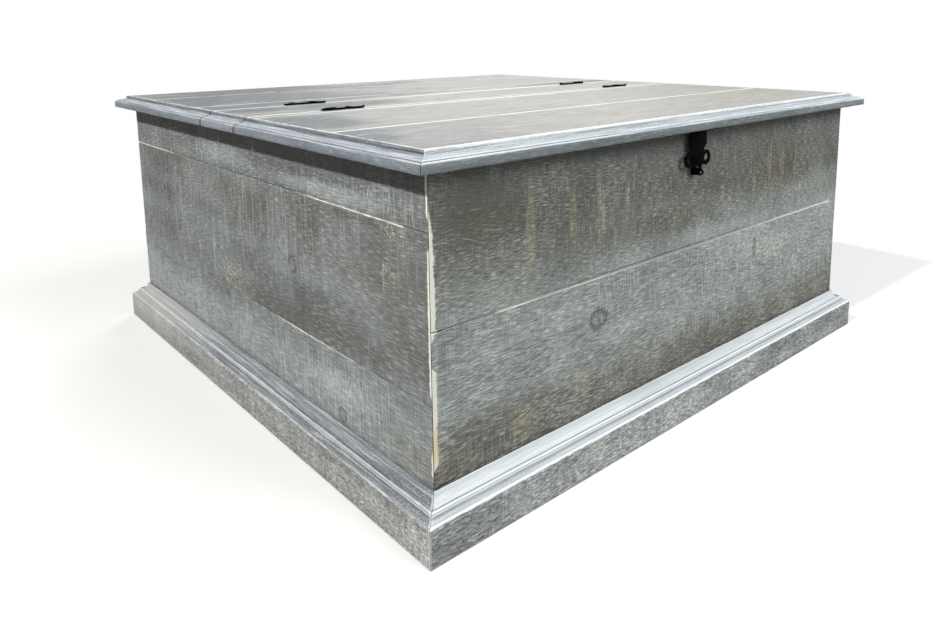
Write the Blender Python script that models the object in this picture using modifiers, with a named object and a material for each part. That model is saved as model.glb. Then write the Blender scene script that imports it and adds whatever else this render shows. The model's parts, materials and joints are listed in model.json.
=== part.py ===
"""Double-lidded storage trunk in grey-washed pine.

Metres, +Z up, origin on the floor under the middle of the trunk. The front, with the
first hasp, faces -Y. Two lids hinge on a fixed strip that crosses the middle of the top.
"""
from math import atan2, cos, pi, radians, sin, sqrt

import bmesh
import bpy
from mathutils import Matrix

# Fits
GAP = 0.0003
MITRE_GAP = GAP * sqrt(0.5)
EASED_EDGE = 0.0009

# Top: two lids and a fixed strip
LID_WIDTH = 1.016
LID_DEPTH = 1.016
TOP_HEIGHT = 0.450
LID_THICKNESS = 0.022
LID_OVERHANG = 0.029
STRIP_WIDTH = 0.121
FRONT_LID_JOINTS = (0.022, 0.233)
BACK_LID_JOINTS = (0.073, 0.284)

# Moulding round the edge of the top
LID_MOULDING_WIDTH = 0.0225
LID_FACE = 0.0125
LID_NOSE_RADIUS = 0.0028
LID_LEDGE = 0.0014
LID_STEP = 0.0008
LID_BEAD_RADIUS = 0.0014
LID_SHOULDER_RADIUS = 0.0022
LID_SHOULDER_STEP = 0.0007
LID_TOP_BORDER = 0.0016
LID_GROOVE = 0.0010

# Carcass walls, mitred at the corners
WALL_THICKNESS = 0.020
WALL_FLOOR_CLEARANCE = 0.006
FRONT_JOINTS = (0.250,)
BACK_JOINTS = (0.205,)
LEFT_JOINTS = (0.165, 0.359)
RIGHT_JOINTS = (0.232,)
POST_SIZE = 0.032
POST_DROP = 0.012

# Moulded plinth round the foot
PLINTH_PROUD = 0.0275
PLINTH_FACE = 0.048
PLINTH_TOP = 0.069
PLINTH_EDGE_RADIUS = 0.0022
PLINTH_COVE_WIDTH = 0.0080
PLINTH_COVE_RISE = 0.0062
PLINTH_LEDGE = 0.0010
PLINTH_BEAD_RADIUS = 0.0034
PLINTH_QUIRK = 0.0014
PLINTH_TOP_BORDER = 0.0012
PLINTH_GROOVE = 0.0012

# Floor
FLOOR_THICKNESS = 0.012
FLOOR_PANEL_GAP = 0.0008
CLEAT_WIDTH = 0.025
CLEAT_HEIGHT = 0.025
CLEAT_BOTTOM = 0.020

# Battens under the lids
BATTEN_WIDTH = 0.045
BATTEN_THICKNESS = 0.016
BATTEN_INSET = 0.228
BATTEN_STRIP_CLEARANCE = 0.022
BATTEN_WALL_CLEARANCE = 0.018

# Butt hinges
HINGE_INSET = 0.178
HINGE_LENGTH = 0.072
KNUCKLE_COUNT = 5
KNUCKLE_GAP = 0.0004
BARREL_RADIUS = 0.0022
BARREL_CLEARANCE = 0.0002
PIN_RADIUS = 0.0010
PIN_CLEARANCE = 0.0002
PIN_HEAD_RADIUS = 0.0025
PIN_HEAD_HEIGHT = 0.0024
LEAF_THICKNESS = 0.0010
LEAF_PLAY = 0.0004
LEAF_EDGE_MARGIN = 0.0020

# Hasps
HASP_STANDOFF = 0.0075
HASP_WIDTH = 0.042
HASP_LEAF_THICKNESS = 0.0010
HASP_LEAF_MARGIN = 0.0025
HASP_KNUCKLE_LENGTH = 0.018
HASP_PIN_HEAD_RADIUS = 0.0019
HASP_PIN_HEAD_HEIGHT = 0.0014
STRAP_THICKNESS = 0.0022
STRAP_EASED_EDGE = 0.0005
STRAP_SHOULDER_DROP = 0.0220
STRAP_CHAMFER = 0.0060
LOBE_RADIUS = 0.0114
LOBE_HOLE_RADIUS = 0.0052
LOBE_SPACING = 0.0420
LOBE_DROP = 0.0418
TAIL_TOP_WIDTH = 0.0240
TAIL_TIP_WIDTH = 0.0150
TAIL_TIP_ROUND = 0.0015
TAIL_DROP = 0.0655
STAPLE_THICKNESS = 0.0030
STAPLE_SIDE_CLEARANCE = 0.0013
STAPLE_TOP_CLEARANCE = 0.0005
STAPLE_TIP_DROP = 0.0005
STAPLE_BASE_WIDTH = 0.0110
STAPLE_BASE_HEIGHT = 0.0110
STAPLE_BASE_THICKNESS = 0.0015
STAPLE_EYE_RADIUS = 0.0051
STAPLE_EYE_HOLE_RADIUS = 0.0031
STAPLE_STRAP_CLEARANCE = 0.0006

# Facets and tolerances
ARC_STEPS = 6
DOME_STEPS = 4
ROUND_STEPS = 16
LOBE_STEPS = 16
WELD_DISTANCE = 0.00001
CUT_TOLERANCE = 0.000001
FLAT_ANGLE = radians(0.5)
ARRIS_ANGLE = radians(30)
SMOOTH_ANGLE = radians(38)
RIM_ANGLE = radians(60)
BLANK_ALLOWANCE = 0.05

# Worked-out sizes
BODY_WIDTH = LID_WIDTH - 2 * LID_OVERHANG
BODY_DEPTH = LID_DEPTH - 2 * LID_OVERHANG
LID_BOTTOM = TOP_HEIGHT - LID_THICKNESS
WALL_TOP = LID_BOTTOM - GAP
INNER_WIDTH = BODY_WIDTH - 2 * WALL_THICKNESS
INNER_DEPTH = BODY_DEPTH - 2 * WALL_THICKNESS
FLOOR_BOTTOM = CLEAT_BOTTOM + CLEAT_HEIGHT + GAP
FLOOR_TOP = FLOOR_BOTTOM + FLOOR_THICKNESS
LEAF_GAP = 2 * (GAP + LEAF_THICKNESS) + LEAF_PLAY
LID_EDGE = STRIP_WIDTH / 2 + LEAF_GAP
HINGE_Y = STRIP_WIDTH / 2 + LEAF_GAP / 2
HINGE_Z = TOP_HEIGHT + BARREL_RADIUS + BARREL_CLEARANCE
BORE_RADIUS = PIN_RADIUS + PIN_CLEARANCE
NECK_RADIUS = (BORE_RADIUS + BARREL_RADIUS) / 2
NOTCH_RADIUS = BARREL_RADIUS + KNUCKLE_GAP
HASP_Y = BODY_DEPTH / 2 + HASP_STANDOFF
HASP_Z = LID_BOTTOM - GAP - BARREL_RADIUS
STAPLE_REACH = HASP_STANDOFF + STRAP_THICKNESS / 2 + STAPLE_STRAP_CLEARANCE + STAPLE_EYE_HOLE_RADIUS
STAPLE_Z = HASP_Z - TAIL_DROP - STAPLE_TIP_DROP + STAPLE_EYE_RADIUS
FORK_HALF_WIDTH = STAPLE_THICKNESS / 2 + STAPLE_SIDE_CLEARANCE
FORK_TOP = STAPLE_Z - HASP_Z + STAPLE_EYE_RADIUS + STAPLE_TOP_CLEARANCE
SIDES = ("front", "right", "back", "left")


def clear_scene():
    for old in list(bpy.data.objects):
        bpy.data.objects.remove(old, do_unlink=True)


def new_collection(name):
    collection = bpy.data.collections.new(name)
    bpy.context.scene.collection.children.link(collection)
    return collection


def finish(name, colour, roughness, metallic=0.0):
    material = bpy.data.materials.new(name)
    material.use_nodes = True
    shader = material.node_tree.nodes["Principled BSDF"]
    shader.inputs["Base Color"].default_value = (*colour, 1.0)
    shader.inputs["Roughness"].default_value = roughness
    shader.inputs["Metallic"].default_value = metallic
    return material


clear_scene()
TRUNK = new_collection("storage_trunk")
CUTTERS = new_collection("cutters")
GREY_WASH = finish("grey_washed_pine", (0.15, 0.16, 0.155), 0.72)
GREY_MOULDING = finish("grey_washed_moulding", (0.26, 0.29, 0.31), 0.58)
RAW_PINE = finish("bare_pine", (0.48, 0.34, 0.20), 0.75)
IRON = finish("black_iron", (0.012, 0.012, 0.013), 0.55, 0.6)


def link_part(name, mesh, material, location=(0, 0, 0), turn=0.0):
    """A named sub-part whose mesh sits at its own origin, turned about Z into place."""
    if not mesh.materials:
        mesh.materials.append(material)
    part = bpy.data.objects.new(name, mesh)
    part.location = location
    part.rotation_euler = (0, 0, turn)
    TRUNK.objects.link(part)
    return part


def to_mesh(bm, name):
    bmesh.ops.recalc_face_normals(bm, faces=bm.faces)
    mesh = bpy.data.meshes.new(name)
    bm.to_mesh(mesh)
    bm.free()
    return mesh


def box_mesh(name, low, high):
    bm = bmesh.new()
    bmesh.ops.create_cube(bm, size=1.0)
    size = [top - bottom for bottom, top in zip(low, high)]
    middle = [(top + bottom) / 2 for bottom, top in zip(low, high)]
    bmesh.ops.scale(bm, vec=size, verts=bm.verts)
    bmesh.ops.translate(bm, vec=middle, verts=bm.verts)
    return to_mesh(bm, name)


def outline_mesh(name, loops, depth):
    """A flat outline in XY, with any holes, as a plate of this depth centred on Z = 0."""
    curve = bpy.data.curves.new(name, "CURVE")
    curve.dimensions = "2D"
    curve.fill_mode = "BOTH"
    curve.extrude = depth / 2
    for loop in loops:
        spline = curve.splines.new("POLY")
        spline.points.add(len(loop) - 1)
        for point, (x, y) in zip(spline.points, loop):
            point.co = (x, y, 0, 1)
        spline.use_cyclic_u = True
    carrier = bpy.data.objects.new(name, curve)
    CUTTERS.objects.link(carrier)
    graph = bpy.context.evaluated_depsgraph_get()
    mesh = bpy.data.meshes.new_from_object(carrier.evaluated_get(graph))
    bpy.data.objects.remove(carrier)
    bm = bmesh.new()
    bm.from_mesh(mesh)
    bmesh.ops.remove_doubles(bm, verts=bm.verts, dist=WELD_DISTANCE)
    bmesh.ops.dissolve_limit(bm, angle_limit=FLAT_ANGLE, verts=bm.verts, edges=bm.edges)
    bpy.data.meshes.remove(mesh)
    return to_mesh(bm, name)


def ease_edges(part, width=EASED_EDGE):
    bevel = part.modifiers.new("eased edges", "BEVEL")
    bevel.width = width
    bevel.segments = 2
    bevel.limit_method = "ANGLE"
    bevel.angle_limit = ARRIS_ANGLE


def board(name, low, high, material):
    """A straight board between two corners, with its arrises eased."""
    middle = [(top + bottom) / 2 for bottom, top in zip(low, high)]
    half = [(top - bottom) / 2 for bottom, top in zip(low, high)]
    part = link_part(name, box_mesh(name, [-h for h in half], half), material, middle)
    ease_edges(part)
    return part


def arc(centre, radius, start, end, steps):
    """Points on an arc, from one angle to another in radians."""
    angles = [start + (end - start) * i / steps for i in range(steps + 1)]
    return [(centre[0] + radius * cos(a), centre[1] + radius * sin(a)) for a in angles]


def ovolo(start, end):
    """A convex quarter from a rising start to a level end."""
    turns = [pi / 2 * i / ARC_STEPS for i in range(ARC_STEPS + 1)]
    width, rise = end[0] - start[0], end[1] - start[1]
    return [(start[0] + width * (1 - cos(t)), start[1] + rise * sin(t)) for t in turns]


def cove(start, end):
    """A hollow quarter from a level start to a rising end."""
    turns = [pi / 2 * i / ARC_STEPS for i in range(ARC_STEPS + 1)]
    width, rise = end[0] - start[0], end[1] - start[1]
    return [(start[0] + width * sin(t), start[1] + rise * (1 - cos(t))) for t in turns]


def lid_profile():
    """Section of the lid's edge: inset from the outer face, height."""
    inner = LID_MOULDING_WIDTH - GAP
    nose_top = LID_BOTTOM + LID_FACE
    bead_in = LID_NOSE_RADIUS + LID_LEDGE
    bead_low = nose_top + LID_STEP
    bead_out = bead_in + LID_BEAD_RADIUS
    bead_top = bead_low + LID_BEAD_RADIUS
    cove_in = bead_out + LID_LEDGE
    shoulder_out = inner - LID_TOP_BORDER - LID_GROOVE - LID_SHOULDER_RADIUS
    shoulder_low = TOP_HEIGHT - LID_SHOULDER_RADIUS
    points = [(inner, LID_BOTTOM), (EASED_EDGE, LID_BOTTOM), (0, LID_BOTTOM + EASED_EDGE)]
    points += ovolo((0, nose_top - LID_NOSE_RADIUS), (LID_NOSE_RADIUS, nose_top))
    points += [(bead_in, nose_top)]
    points += ovolo((bead_in, bead_low), (bead_out, bead_top))
    points += cove((cove_in, bead_top), (shoulder_out, shoulder_low - LID_SHOULDER_STEP))
    points += ovolo((shoulder_out, shoulder_low), (shoulder_out + LID_SHOULDER_RADIUS, TOP_HEIGHT))
    points += [(inner - LID_GROOVE, TOP_HEIGHT), (inner, TOP_HEIGHT - LID_GROOVE)]
    return points


def plinth_profile():
    """Section of the plinth: inset from the outer face, height."""
    inner = PLINTH_PROUD - GAP
    cove_end = (PLINTH_EDGE_RADIUS + PLINTH_COVE_WIDTH, PLINTH_FACE + PLINTH_COVE_RISE)
    bead_in = cove_end[0] + PLINTH_LEDGE
    bead_end = (bead_in + PLINTH_BEAD_RADIUS, cove_end[1] + PLINTH_BEAD_RADIUS)
    upper_start = (bead_end[0] + PLINTH_QUIRK, bead_end[1] - PLINTH_QUIRK)
    quirk_in = bead_end[0] + PLINTH_QUIRK / 2
    upper_end = (inner - PLINTH_TOP_BORDER - PLINTH_GROOVE, PLINTH_TOP)
    points = [(inner, 0), (EASED_EDGE, 0), (0, EASED_EDGE)]
    points += ovolo((0, PLINTH_FACE - PLINTH_EDGE_RADIUS), (PLINTH_EDGE_RADIUS, PLINTH_FACE))
    points += cove((PLINTH_EDGE_RADIUS, PLINTH_FACE), cove_end)[1:]
    points += ovolo((bead_in, cove_end[1]), bead_end)
    points += [(quirk_in, bead_end[1]), (quirk_in, upper_start[1])]
    points += cove(upper_start, upper_end)
    points += [(inner - PLINTH_GROOVE, PLINTH_TOP), (inner, PLINTH_TOP - PLINTH_GROOVE)]
    return points


def cut_end(bm, point, normal):
    """Slice off what lies beyond a plane and close the section."""
    geometry = bm.verts[:] + bm.edges[:] + bm.faces[:]
    bmesh.ops.bisect_plane(bm, geom=geometry, dist=CUT_TOLERANCE, plane_co=point, plane_no=normal,
                           clear_outer=True)
    rim = [edge for edge in bm.edges if edge.is_boundary]
    bmesh.ops.edgeloop_fill(bm, edges=rim)


def moulding(name, side, profile, offset, half_run, low=None, high=None):
    """A length of moulding on one side, cut square at low or high, or else mitred."""
    blank = outline_mesh(name, [profile], 2 * (half_run + BLANK_ALLOWANCE))
    bm = bmesh.new()
    bm.from_mesh(blank)
    bpy.data.meshes.remove(blank)
    mitre_point = (0, 0, half_run - MITRE_GAP)
    if high is None:
        cut_end(bm, mitre_point, (1, 0, 1))
    else:
        cut_end(bm, (0, 0, high), (0, 0, 1))
    if low is None:
        cut_end(bm, [-value for value in mitre_point], (1, 0, -1))
    else:
        cut_end(bm, (0, 0, low), (0, 0, -1))
    section_to_side = Matrix(((0, 0, 1, 0), (1, 0, 0, -offset), (0, 1, 0, 0), (0, 0, 0, 1)))
    bmesh.ops.transform(bm, matrix=section_to_side, verts=bm.verts)
    mesh = to_mesh(bm, name)
    mesh.shade_smooth()
    mesh.set_sharp_from_angle(angle=SMOOTH_ANGLE)
    return link_part(name, mesh, GREY_MOULDING, turn=side * pi / 2)


def side_size(side, width, depth):
    """Half the run of a side and its distance from the middle."""
    return (width / 2, depth / 2) if side % 2 == 0 else (depth / 2, width / 2)


def wall(side, joints, names):
    """One wall of the carcass: boards edge to edge, mitred at both ends."""
    half_run, offset = side_size(side, BODY_WIDTH, BODY_DEPTH)
    outer = half_run - MITRE_GAP
    inner = outer - WALL_THICKNESS
    inside = WALL_THICKNESS - offset
    plan = [(-outer, -offset), (outer, -offset), (inner, inside), (-inner, inside)]
    lows = [WALL_FLOOR_CLEARANCE] + [height + GAP / 2 for height in joints]
    highs = [height - GAP / 2 for height in joints] + [WALL_TOP]
    for name, low, high in zip(names, lows, highs):
        full_name = f"{SIDES[side]}_board_{name}"
        mesh = outline_mesh(full_name, [plan], high - low)
        ease_edges(link_part(full_name, mesh, GREY_WASH, (0, 0, (low + high) / 2), side * pi / 2))


def carcass():
    wall(0, FRONT_JOINTS, ("lower", "upper"))
    wall(1, RIGHT_JOINTS, ("lower", "upper"))
    wall(2, BACK_JOINTS, ("lower", "upper"))
    wall(3, LEFT_JOINTS, ("lower", "middle", "upper"))
    for x, x_name in ((-1, "left"), (1, "right")):
        for y, y_name in ((-1, "front"), (1, "back")):
            corner = (x * (INNER_WIDTH / 2 - GAP), y * (INNER_DEPTH / 2 - GAP))
            opposite = (corner[0] - x * POST_SIZE, corner[1] - y * POST_SIZE)
            low = (min(corner[0], opposite[0]), min(corner[1], opposite[1]), FLOOR_TOP + GAP)
            high = (max(corner[0], opposite[0]), max(corner[1], opposite[1]), WALL_TOP - POST_DROP)
            board(f"corner_post_{y_name}_{x_name}", low, high, RAW_PINE)


def floor():
    half = (INNER_WIDTH / 2 - FLOOR_PANEL_GAP, INNER_DEPTH / 2 - FLOOR_PANEL_GAP)
    board("floor_panel", (-half[0], -half[1], FLOOR_BOTTOM), (half[0], half[1], FLOOR_TOP), RAW_PINE)
    far = INNER_WIDTH / 2 - GAP
    near = far - CLEAT_WIDTH
    top = CLEAT_BOTTOM + CLEAT_HEIGHT
    board("floor_cleat_right", (near, -half[1], CLEAT_BOTTOM), (far, half[1], top), RAW_PINE)
    board("floor_cleat_left", (-far, -half[1], CLEAT_BOTTOM), (-near, half[1], top), RAW_PINE)


def plinth():
    for side, name in enumerate(SIDES):
        half_run, offset = side_size(side, BODY_WIDTH + 2 * PLINTH_PROUD, BODY_DEPTH + 2 * PLINTH_PROUD)
        moulding(f"plinth_{name}", side, plinth_profile(), offset, half_run)


def top_moulding(name, side, low=None, high=None):
    half_run, offset = side_size(side, LID_WIDTH, LID_DEPTH)
    return moulding(name, side, lid_profile(), offset, half_run, low, high)


def centre_strip():
    half = LID_WIDTH / 2 - LID_MOULDING_WIDTH
    low, high = (-half, -STRIP_WIDTH / 2, LID_BOTTOM), (half, STRIP_WIDTH / 2, TOP_HEIGHT)
    board("centre_strip", low, high, GREY_WASH)
    top_moulding("strip_moulding_right", 1, -STRIP_WIDTH / 2, STRIP_WIDTH / 2)
    top_moulding("strip_moulding_left", 3, -STRIP_WIDTH / 2, STRIP_WIDTH / 2)


def joint_axis(name, location):
    """An empty on a joint's axis that carries the pieces turning about it."""
    axis = bpy.data.objects.new(name, None)
    axis.location = location
    TRUNK.objects.link(axis)
    return axis


def carry(axis, parts):
    for part in parts:
        part.parent = axis
        part.matrix_parent_inverse = Matrix.Translation(axis.location).inverted()


def lid(name, facing, joints):
    """Boards, edge mouldings and battens of one lid; facing is -1 in front and 1 behind."""
    half = LID_WIDTH / 2 - LID_MOULDING_WIDTH
    outer = LID_DEPTH / 2 - LID_MOULDING_WIDTH
    starts = [LID_EDGE] + [LID_EDGE + joint + GAP / 2 for joint in joints]
    ends = [LID_EDGE + joint - GAP / 2 for joint in joints] + [outer]
    pieces = []
    for place, start, end in zip(("inner", "middle", "outer"), starts, ends):
        low = (-half, min(facing * start, facing * end), LID_BOTTOM)
        high = (half, max(facing * start, facing * end), TOP_HEIGHT)
        pieces.append(board(f"{name}_board_{place}", low, high, GREY_WASH))
    if facing < 0:
        pieces.append(top_moulding(f"{name}_moulding_front", 0))
        pieces.append(top_moulding(f"{name}_moulding_right", 1, high=-LID_EDGE))
        pieces.append(top_moulding(f"{name}_moulding_left", 3, low=LID_EDGE))
    else:
        pieces.append(top_moulding(f"{name}_moulding_back", 2))
        pieces.append(top_moulding(f"{name}_moulding_right", 1, low=LID_EDGE))
        pieces.append(top_moulding(f"{name}_moulding_left", 3, high=-LID_EDGE))
    near = facing * (LID_EDGE + BATTEN_STRIP_CLEARANCE)
    far = facing * (INNER_DEPTH / 2 - BATTEN_WALL_CLEARANCE)
    top = LID_BOTTOM - GAP
    batten_x = LID_WIDTH / 2 - BATTEN_INSET
    for x, x_name in ((-batten_x, "left"), (batten_x, "right")):
        low = (x - BATTEN_WIDTH / 2, min(near, far), top - BATTEN_THICKNESS)
        high = (x + BATTEN_WIDTH / 2, max(near, far), top)
        pieces.append(board(f"{name}_batten_{x_name}", low, high, RAW_PINE))
    axis = joint_axis(f"{name}_axis", (0, facing * HINGE_Y, HINGE_Z))
    carry(axis, pieces)
    return axis


def operand(name, bm):
    """A hidden solid that a Boolean modifier adds or takes away."""
    part = bpy.data.objects.new(name, to_mesh(bm, name))
    part.hide_render = True
    part.display_type = "WIRE"
    CUTTERS.objects.link(part)
    return part


def rod_into(bm, radius, start, end):
    """A closed rod along X."""
    along_x = Matrix.Translation(((start + end) / 2, 0, 0)) @ Matrix.Rotation(pi / 2, 4, "Y")
    bmesh.ops.create_cone(bm, cap_ends=True, segments=ROUND_STEPS, radius1=radius, radius2=radius,
                          depth=end - start, matrix=along_x)


def box_into(bm, low, high):
    size = [top - bottom for bottom, top in zip(low, high)]
    middle = [(top + bottom) / 2 for bottom, top in zip(low, high)]
    matrix = Matrix.Translation(middle) @ Matrix.Diagonal((*size, 1))
    bmesh.ops.create_cube(bm, size=1.0, matrix=matrix)


def combine(name, base, added, bore=None):
    """Fuse the added solids with the base one after another, bore the barrel and keep the result."""
    work = bpy.data.objects.new(name, base)
    CUTTERS.objects.link(work)
    helpers = [operand(f"{name}_{i}", bm) for i, bm in enumerate(added)]
    for helper in helpers:
        union = work.modifiers.new("join", "BOOLEAN")
        union.operation = "UNION"
        union.object = helper
    if bore:
        helpers.append(operand(f"{name}_bore", bore))
        cut = work.modifiers.new("bore", "BOOLEAN")
        cut.operation = "DIFFERENCE"
        cut.object = helpers[-1]
    graph = bpy.context.evaluated_depsgraph_get()
    mesh = bpy.data.meshes.new_from_object(work.evaluated_get(graph))
    mesh.name = name
    for helper in helpers + [work]:
        bpy.data.objects.remove(helper)
    mesh.materials.clear()
    mesh.shade_smooth()
    mesh.set_sharp_from_angle(angle=SMOOTH_ANGLE)
    return mesh


def barrel_bore(length):
    bm = bmesh.new()
    rod_into(bm, BORE_RADIUS, -length, length)
    return bm


def knuckle_spans(length, count):
    pitch = (length + KNUCKLE_GAP) / count
    starts = [-length / 2 + pitch * i for i in range(count)]
    return [(start, start + pitch - KNUCKLE_GAP) for start in starts]


def hinge_leaf_mesh(name, side, own_spans):
    """A leaf that hangs beside the gap's middle, with necks up into its own knuckles."""
    near, far = LEAF_PLAY / 2, LEAF_PLAY / 2 + LEAF_THICKNESS
    foot = LID_BOTTOM + LEAF_EDGE_MARGIN - HINGE_Z
    y_range = (min(side * near, side * far), max(side * near, side * far))
    low = (-HINGE_LENGTH / 2, y_range[0], foot)
    high = (HINGE_LENGTH / 2, y_range[1], -NOTCH_RADIUS)
    added = []
    for start, end in own_spans:
        neck = bmesh.new()
        box_into(neck, (start, y_range[0], 2 * -NOTCH_RADIUS), (end, y_range[1], -NECK_RADIUS))
        knuckle = bmesh.new()
        rod_into(knuckle, BARREL_RADIUS, start, end)
        added += [neck, knuckle]
    return combine(name, box_mesh(name, low, high), added, barrel_bore(HINGE_LENGTH))


def pin_mesh(name, length, head_radius, head_height):
    """A turned pin along X with a domed button at each end."""
    shoulder = length / 2 + GAP
    dome = arc((0, 0), 1.0, pi / 2, 0, DOME_STEPS)
    top = [(head_radius * x, shoulder + head_height * z) for x, z in dome]
    profile = top + [(PIN_RADIUS, shoulder)]
    profile += [(x, -z) for x, z in reversed(profile)]
    bm = bmesh.new()
    verts = [bm.verts.new((x, 0, z)) for x, z in profile]
    for upper, lower in zip(verts, verts[1:]):
        bm.edges.new((upper, lower))
    mesh = bpy.data.meshes.new(name)
    bm.to_mesh(mesh)
    bm.free()
    work = bpy.data.objects.new(name, mesh)
    CUTTERS.objects.link(work)
    turned = work.modifiers.new("turned", "SCREW")
    turned.axis = "Z"
    turned.steps = ROUND_STEPS
    turned.render_steps = ROUND_STEPS
    turned.use_merge_vertices = True
    turned.merge_threshold = WELD_DISTANCE
    graph = bpy.context.evaluated_depsgraph_get()
    solid = bpy.data.meshes.new_from_object(work.evaluated_get(graph))
    bpy.data.objects.remove(work)
    bm = bmesh.new()
    bm.from_mesh(solid)
    bpy.data.meshes.remove(solid)
    bmesh.ops.rotate(bm, matrix=Matrix.Rotation(pi / 2, 3, "Y"), verts=bm.verts)
    solid = to_mesh(bm, name)
    solid.shade_smooth()
    solid.set_sharp_from_angle(angle=SMOOTH_ANGLE)
    return solid


def hinges(lid_axes):
    spans = knuckle_spans(HINGE_LENGTH, KNUCKLE_COUNT)
    fixed_mesh = hinge_leaf_mesh("hinge_fixed_leaf", 1, spans[0::2])
    lid_mesh = hinge_leaf_mesh("hinge_lid_leaf", -1, spans[1::2])
    pin = pin_mesh("hinge_pin", HINGE_LENGTH, PIN_HEAD_RADIUS, PIN_HEAD_HEIGHT)
    hinge_x = LID_WIDTH / 2 - HINGE_INSET
    for (name, facing), axis in zip((("front", -1), ("back", 1)), lid_axes):
        turn = 0 if facing < 0 else pi
        for x, x_name in ((-hinge_x, "left"), (hinge_x, "right")):
            place = (x, facing * HINGE_Y, HINGE_Z)
            link_part(f"{name}_{x_name}_hinge_fixed_leaf", fixed_mesh, IRON, place, turn)
            link_part(f"{name}_{x_name}_hinge_pin", pin, IRON, place, turn)
            leaf = link_part(f"{name}_{x_name}_hinge_lid_leaf", lid_mesh, IRON, place, turn)
            carry(axis, [leaf])


def hasp_leaf_mesh():
    """The plate under the lid's overhang, with a knuckle at each end of the barrel."""
    reach = LID_OVERHANG - HASP_STANDOFF - HASP_LEAF_MARGIN
    low = (-HASP_WIDTH / 2, -reach, BARREL_RADIUS - HASP_LEAF_THICKNESS)
    high = (HASP_WIDTH / 2, -NOTCH_RADIUS, BARREL_RADIUS)
    added = []
    for side in (-1, 1):
        ends = (side * (HASP_KNUCKLE_LENGTH / 2 + KNUCKLE_GAP), side * HASP_WIDTH / 2)
        start, end = min(ends), max(ends)
        tab = bmesh.new()
        box_into(tab, (start, 2 * -NOTCH_RADIUS, low[2]), (end, 0, high[2]))
        knuckle = bmesh.new()
        rod_into(knuckle, BARREL_RADIUS, start, end)
        added += [tab, knuckle]
    return combine("hasp_leaf", box_mesh("hasp_leaf", low, high), added, barrel_bore(HASP_WIDTH))


def strap_outline():
    """Right half of the strap from its neck at the barrel down to the fork, then mirrored."""
    half = HASP_WIDTH / 2
    waist = half - STRAP_CHAMFER
    lobe = (LOBE_SPACING / 2, -LOBE_DROP)
    tail = TAIL_TOP_WIDTH / 2
    lobe_top = sqrt(LOBE_RADIUS ** 2 - (waist - lobe[0]) ** 2)
    lobe_foot = -sqrt(LOBE_RADIUS ** 2 - (tail - lobe[0]) ** 2)
    start = atan2(lobe_top, waist - lobe[0])
    end = atan2(lobe_foot, tail - lobe[0]) - (2 * pi if tail > lobe[0] else 0)
    slot = FORK_HALF_WIDTH
    tip = TAIL_TIP_WIDTH / 2
    right = [(HASP_KNUCKLE_LENGTH / 2, -NECK_RADIUS), (HASP_KNUCKLE_LENGTH / 2, -NOTCH_RADIUS)]
    right += [(half, -NOTCH_RADIUS), (half, -STRAP_SHOULDER_DROP)]
    right += [(waist, -STRAP_SHOULDER_DROP - STRAP_CHAMFER)]
    right += arc(lobe, LOBE_RADIUS, start, end, LOBE_STEPS)
    right += [(tip, -TAIL_DROP + TAIL_TIP_ROUND), (tip - TAIL_TIP_ROUND, -TAIL_DROP)]
    right += [(slot + TAIL_TIP_ROUND / 2, -TAIL_DROP), (slot, -TAIL_DROP + TAIL_TIP_ROUND / 2)]
    right += arc((0, FORK_TOP), slot, 0, pi / 2, ARC_STEPS)[:-1]
    crown = [(0, FORK_TOP + slot)]
    return right + crown + [(-x, y) for x, y in reversed(right)]


def strap_mesh():
    """Pierced strap: a flat plate cut to its outline, stood upright and fused with its knuckle."""
    steps = ROUND_STEPS
    holes = []
    for side in (-1, 1):
        centre = (side * LOBE_SPACING / 2, -LOBE_DROP)
        holes.append(arc(centre, LOBE_HOLE_RADIUS, 0, 2 * pi, steps)[:-1])
    plate = outline_mesh("hasp_strap", [strap_outline()] + holes, STRAP_THICKNESS)
    bm = bmesh.new()
    bm.from_mesh(plate)
    bpy.data.meshes.remove(plate)
    rims = [edge for edge in bm.edges if edge.calc_face_angle(0) > RIM_ANGLE]
    rims = [edge for edge in rims if abs(edge.verts[0].co.z - edge.verts[1].co.z) < GAP]
    bmesh.ops.bevel(bm, geom=rims, offset=STRAP_EASED_EDGE, offset_type="OFFSET", segments=1, profile=0.5,
                    affect="EDGES", material=-1, clamp_overlap=True)
    bmesh.ops.rotate(bm, matrix=Matrix.Rotation(pi / 2, 3, "X"), verts=bm.verts)
    upright = to_mesh(bm, "hasp_strap")
    knuckle = bmesh.new()
    rod_into(knuckle, BARREL_RADIUS, -HASP_KNUCKLE_LENGTH / 2, HASP_KNUCKLE_LENGTH / 2)
    return combine("hasp_strap", upright, [knuckle], barrel_bore(HASP_WIDTH))


def staple_mesh():
    """An eye that stands out through the fork, on a small plate against the wall."""
    base_half = (STAPLE_BASE_WIDTH / 2, STAPLE_BASE_HEIGHT / 2)
    base = box_mesh("hasp_staple", (-base_half[0], -STAPLE_BASE_THICKNESS, -base_half[1]),
                    (base_half[0], 0, base_half[1]))
    centre = (STAPLE_REACH, 0)
    foot = STAPLE_BASE_THICKNESS / 2
    outline = [(foot, STAPLE_EYE_RADIUS), (foot, -STAPLE_EYE_RADIUS)]
    outline += arc(centre, STAPLE_EYE_RADIUS, -pi / 2, pi / 2, LOBE_STEPS)
    hole = arc(centre, STAPLE_EYE_HOLE_RADIUS, 0, 2 * pi, ROUND_STEPS)[:-1]
    eye = outline_mesh("staple_eye", [outline, hole], STAPLE_THICKNESS)
    bm = bmesh.new()
    bm.from_mesh(eye)
    bpy.data.meshes.remove(eye)
    outward = Matrix(((0, 0, 1, 0), (-1, 0, 0, 0), (0, -1, 0, 0), (0, 0, 0, 1)))
    bmesh.ops.transform(bm, matrix=outward, verts=bm.verts)
    return combine("hasp_staple", base, [bm])


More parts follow.
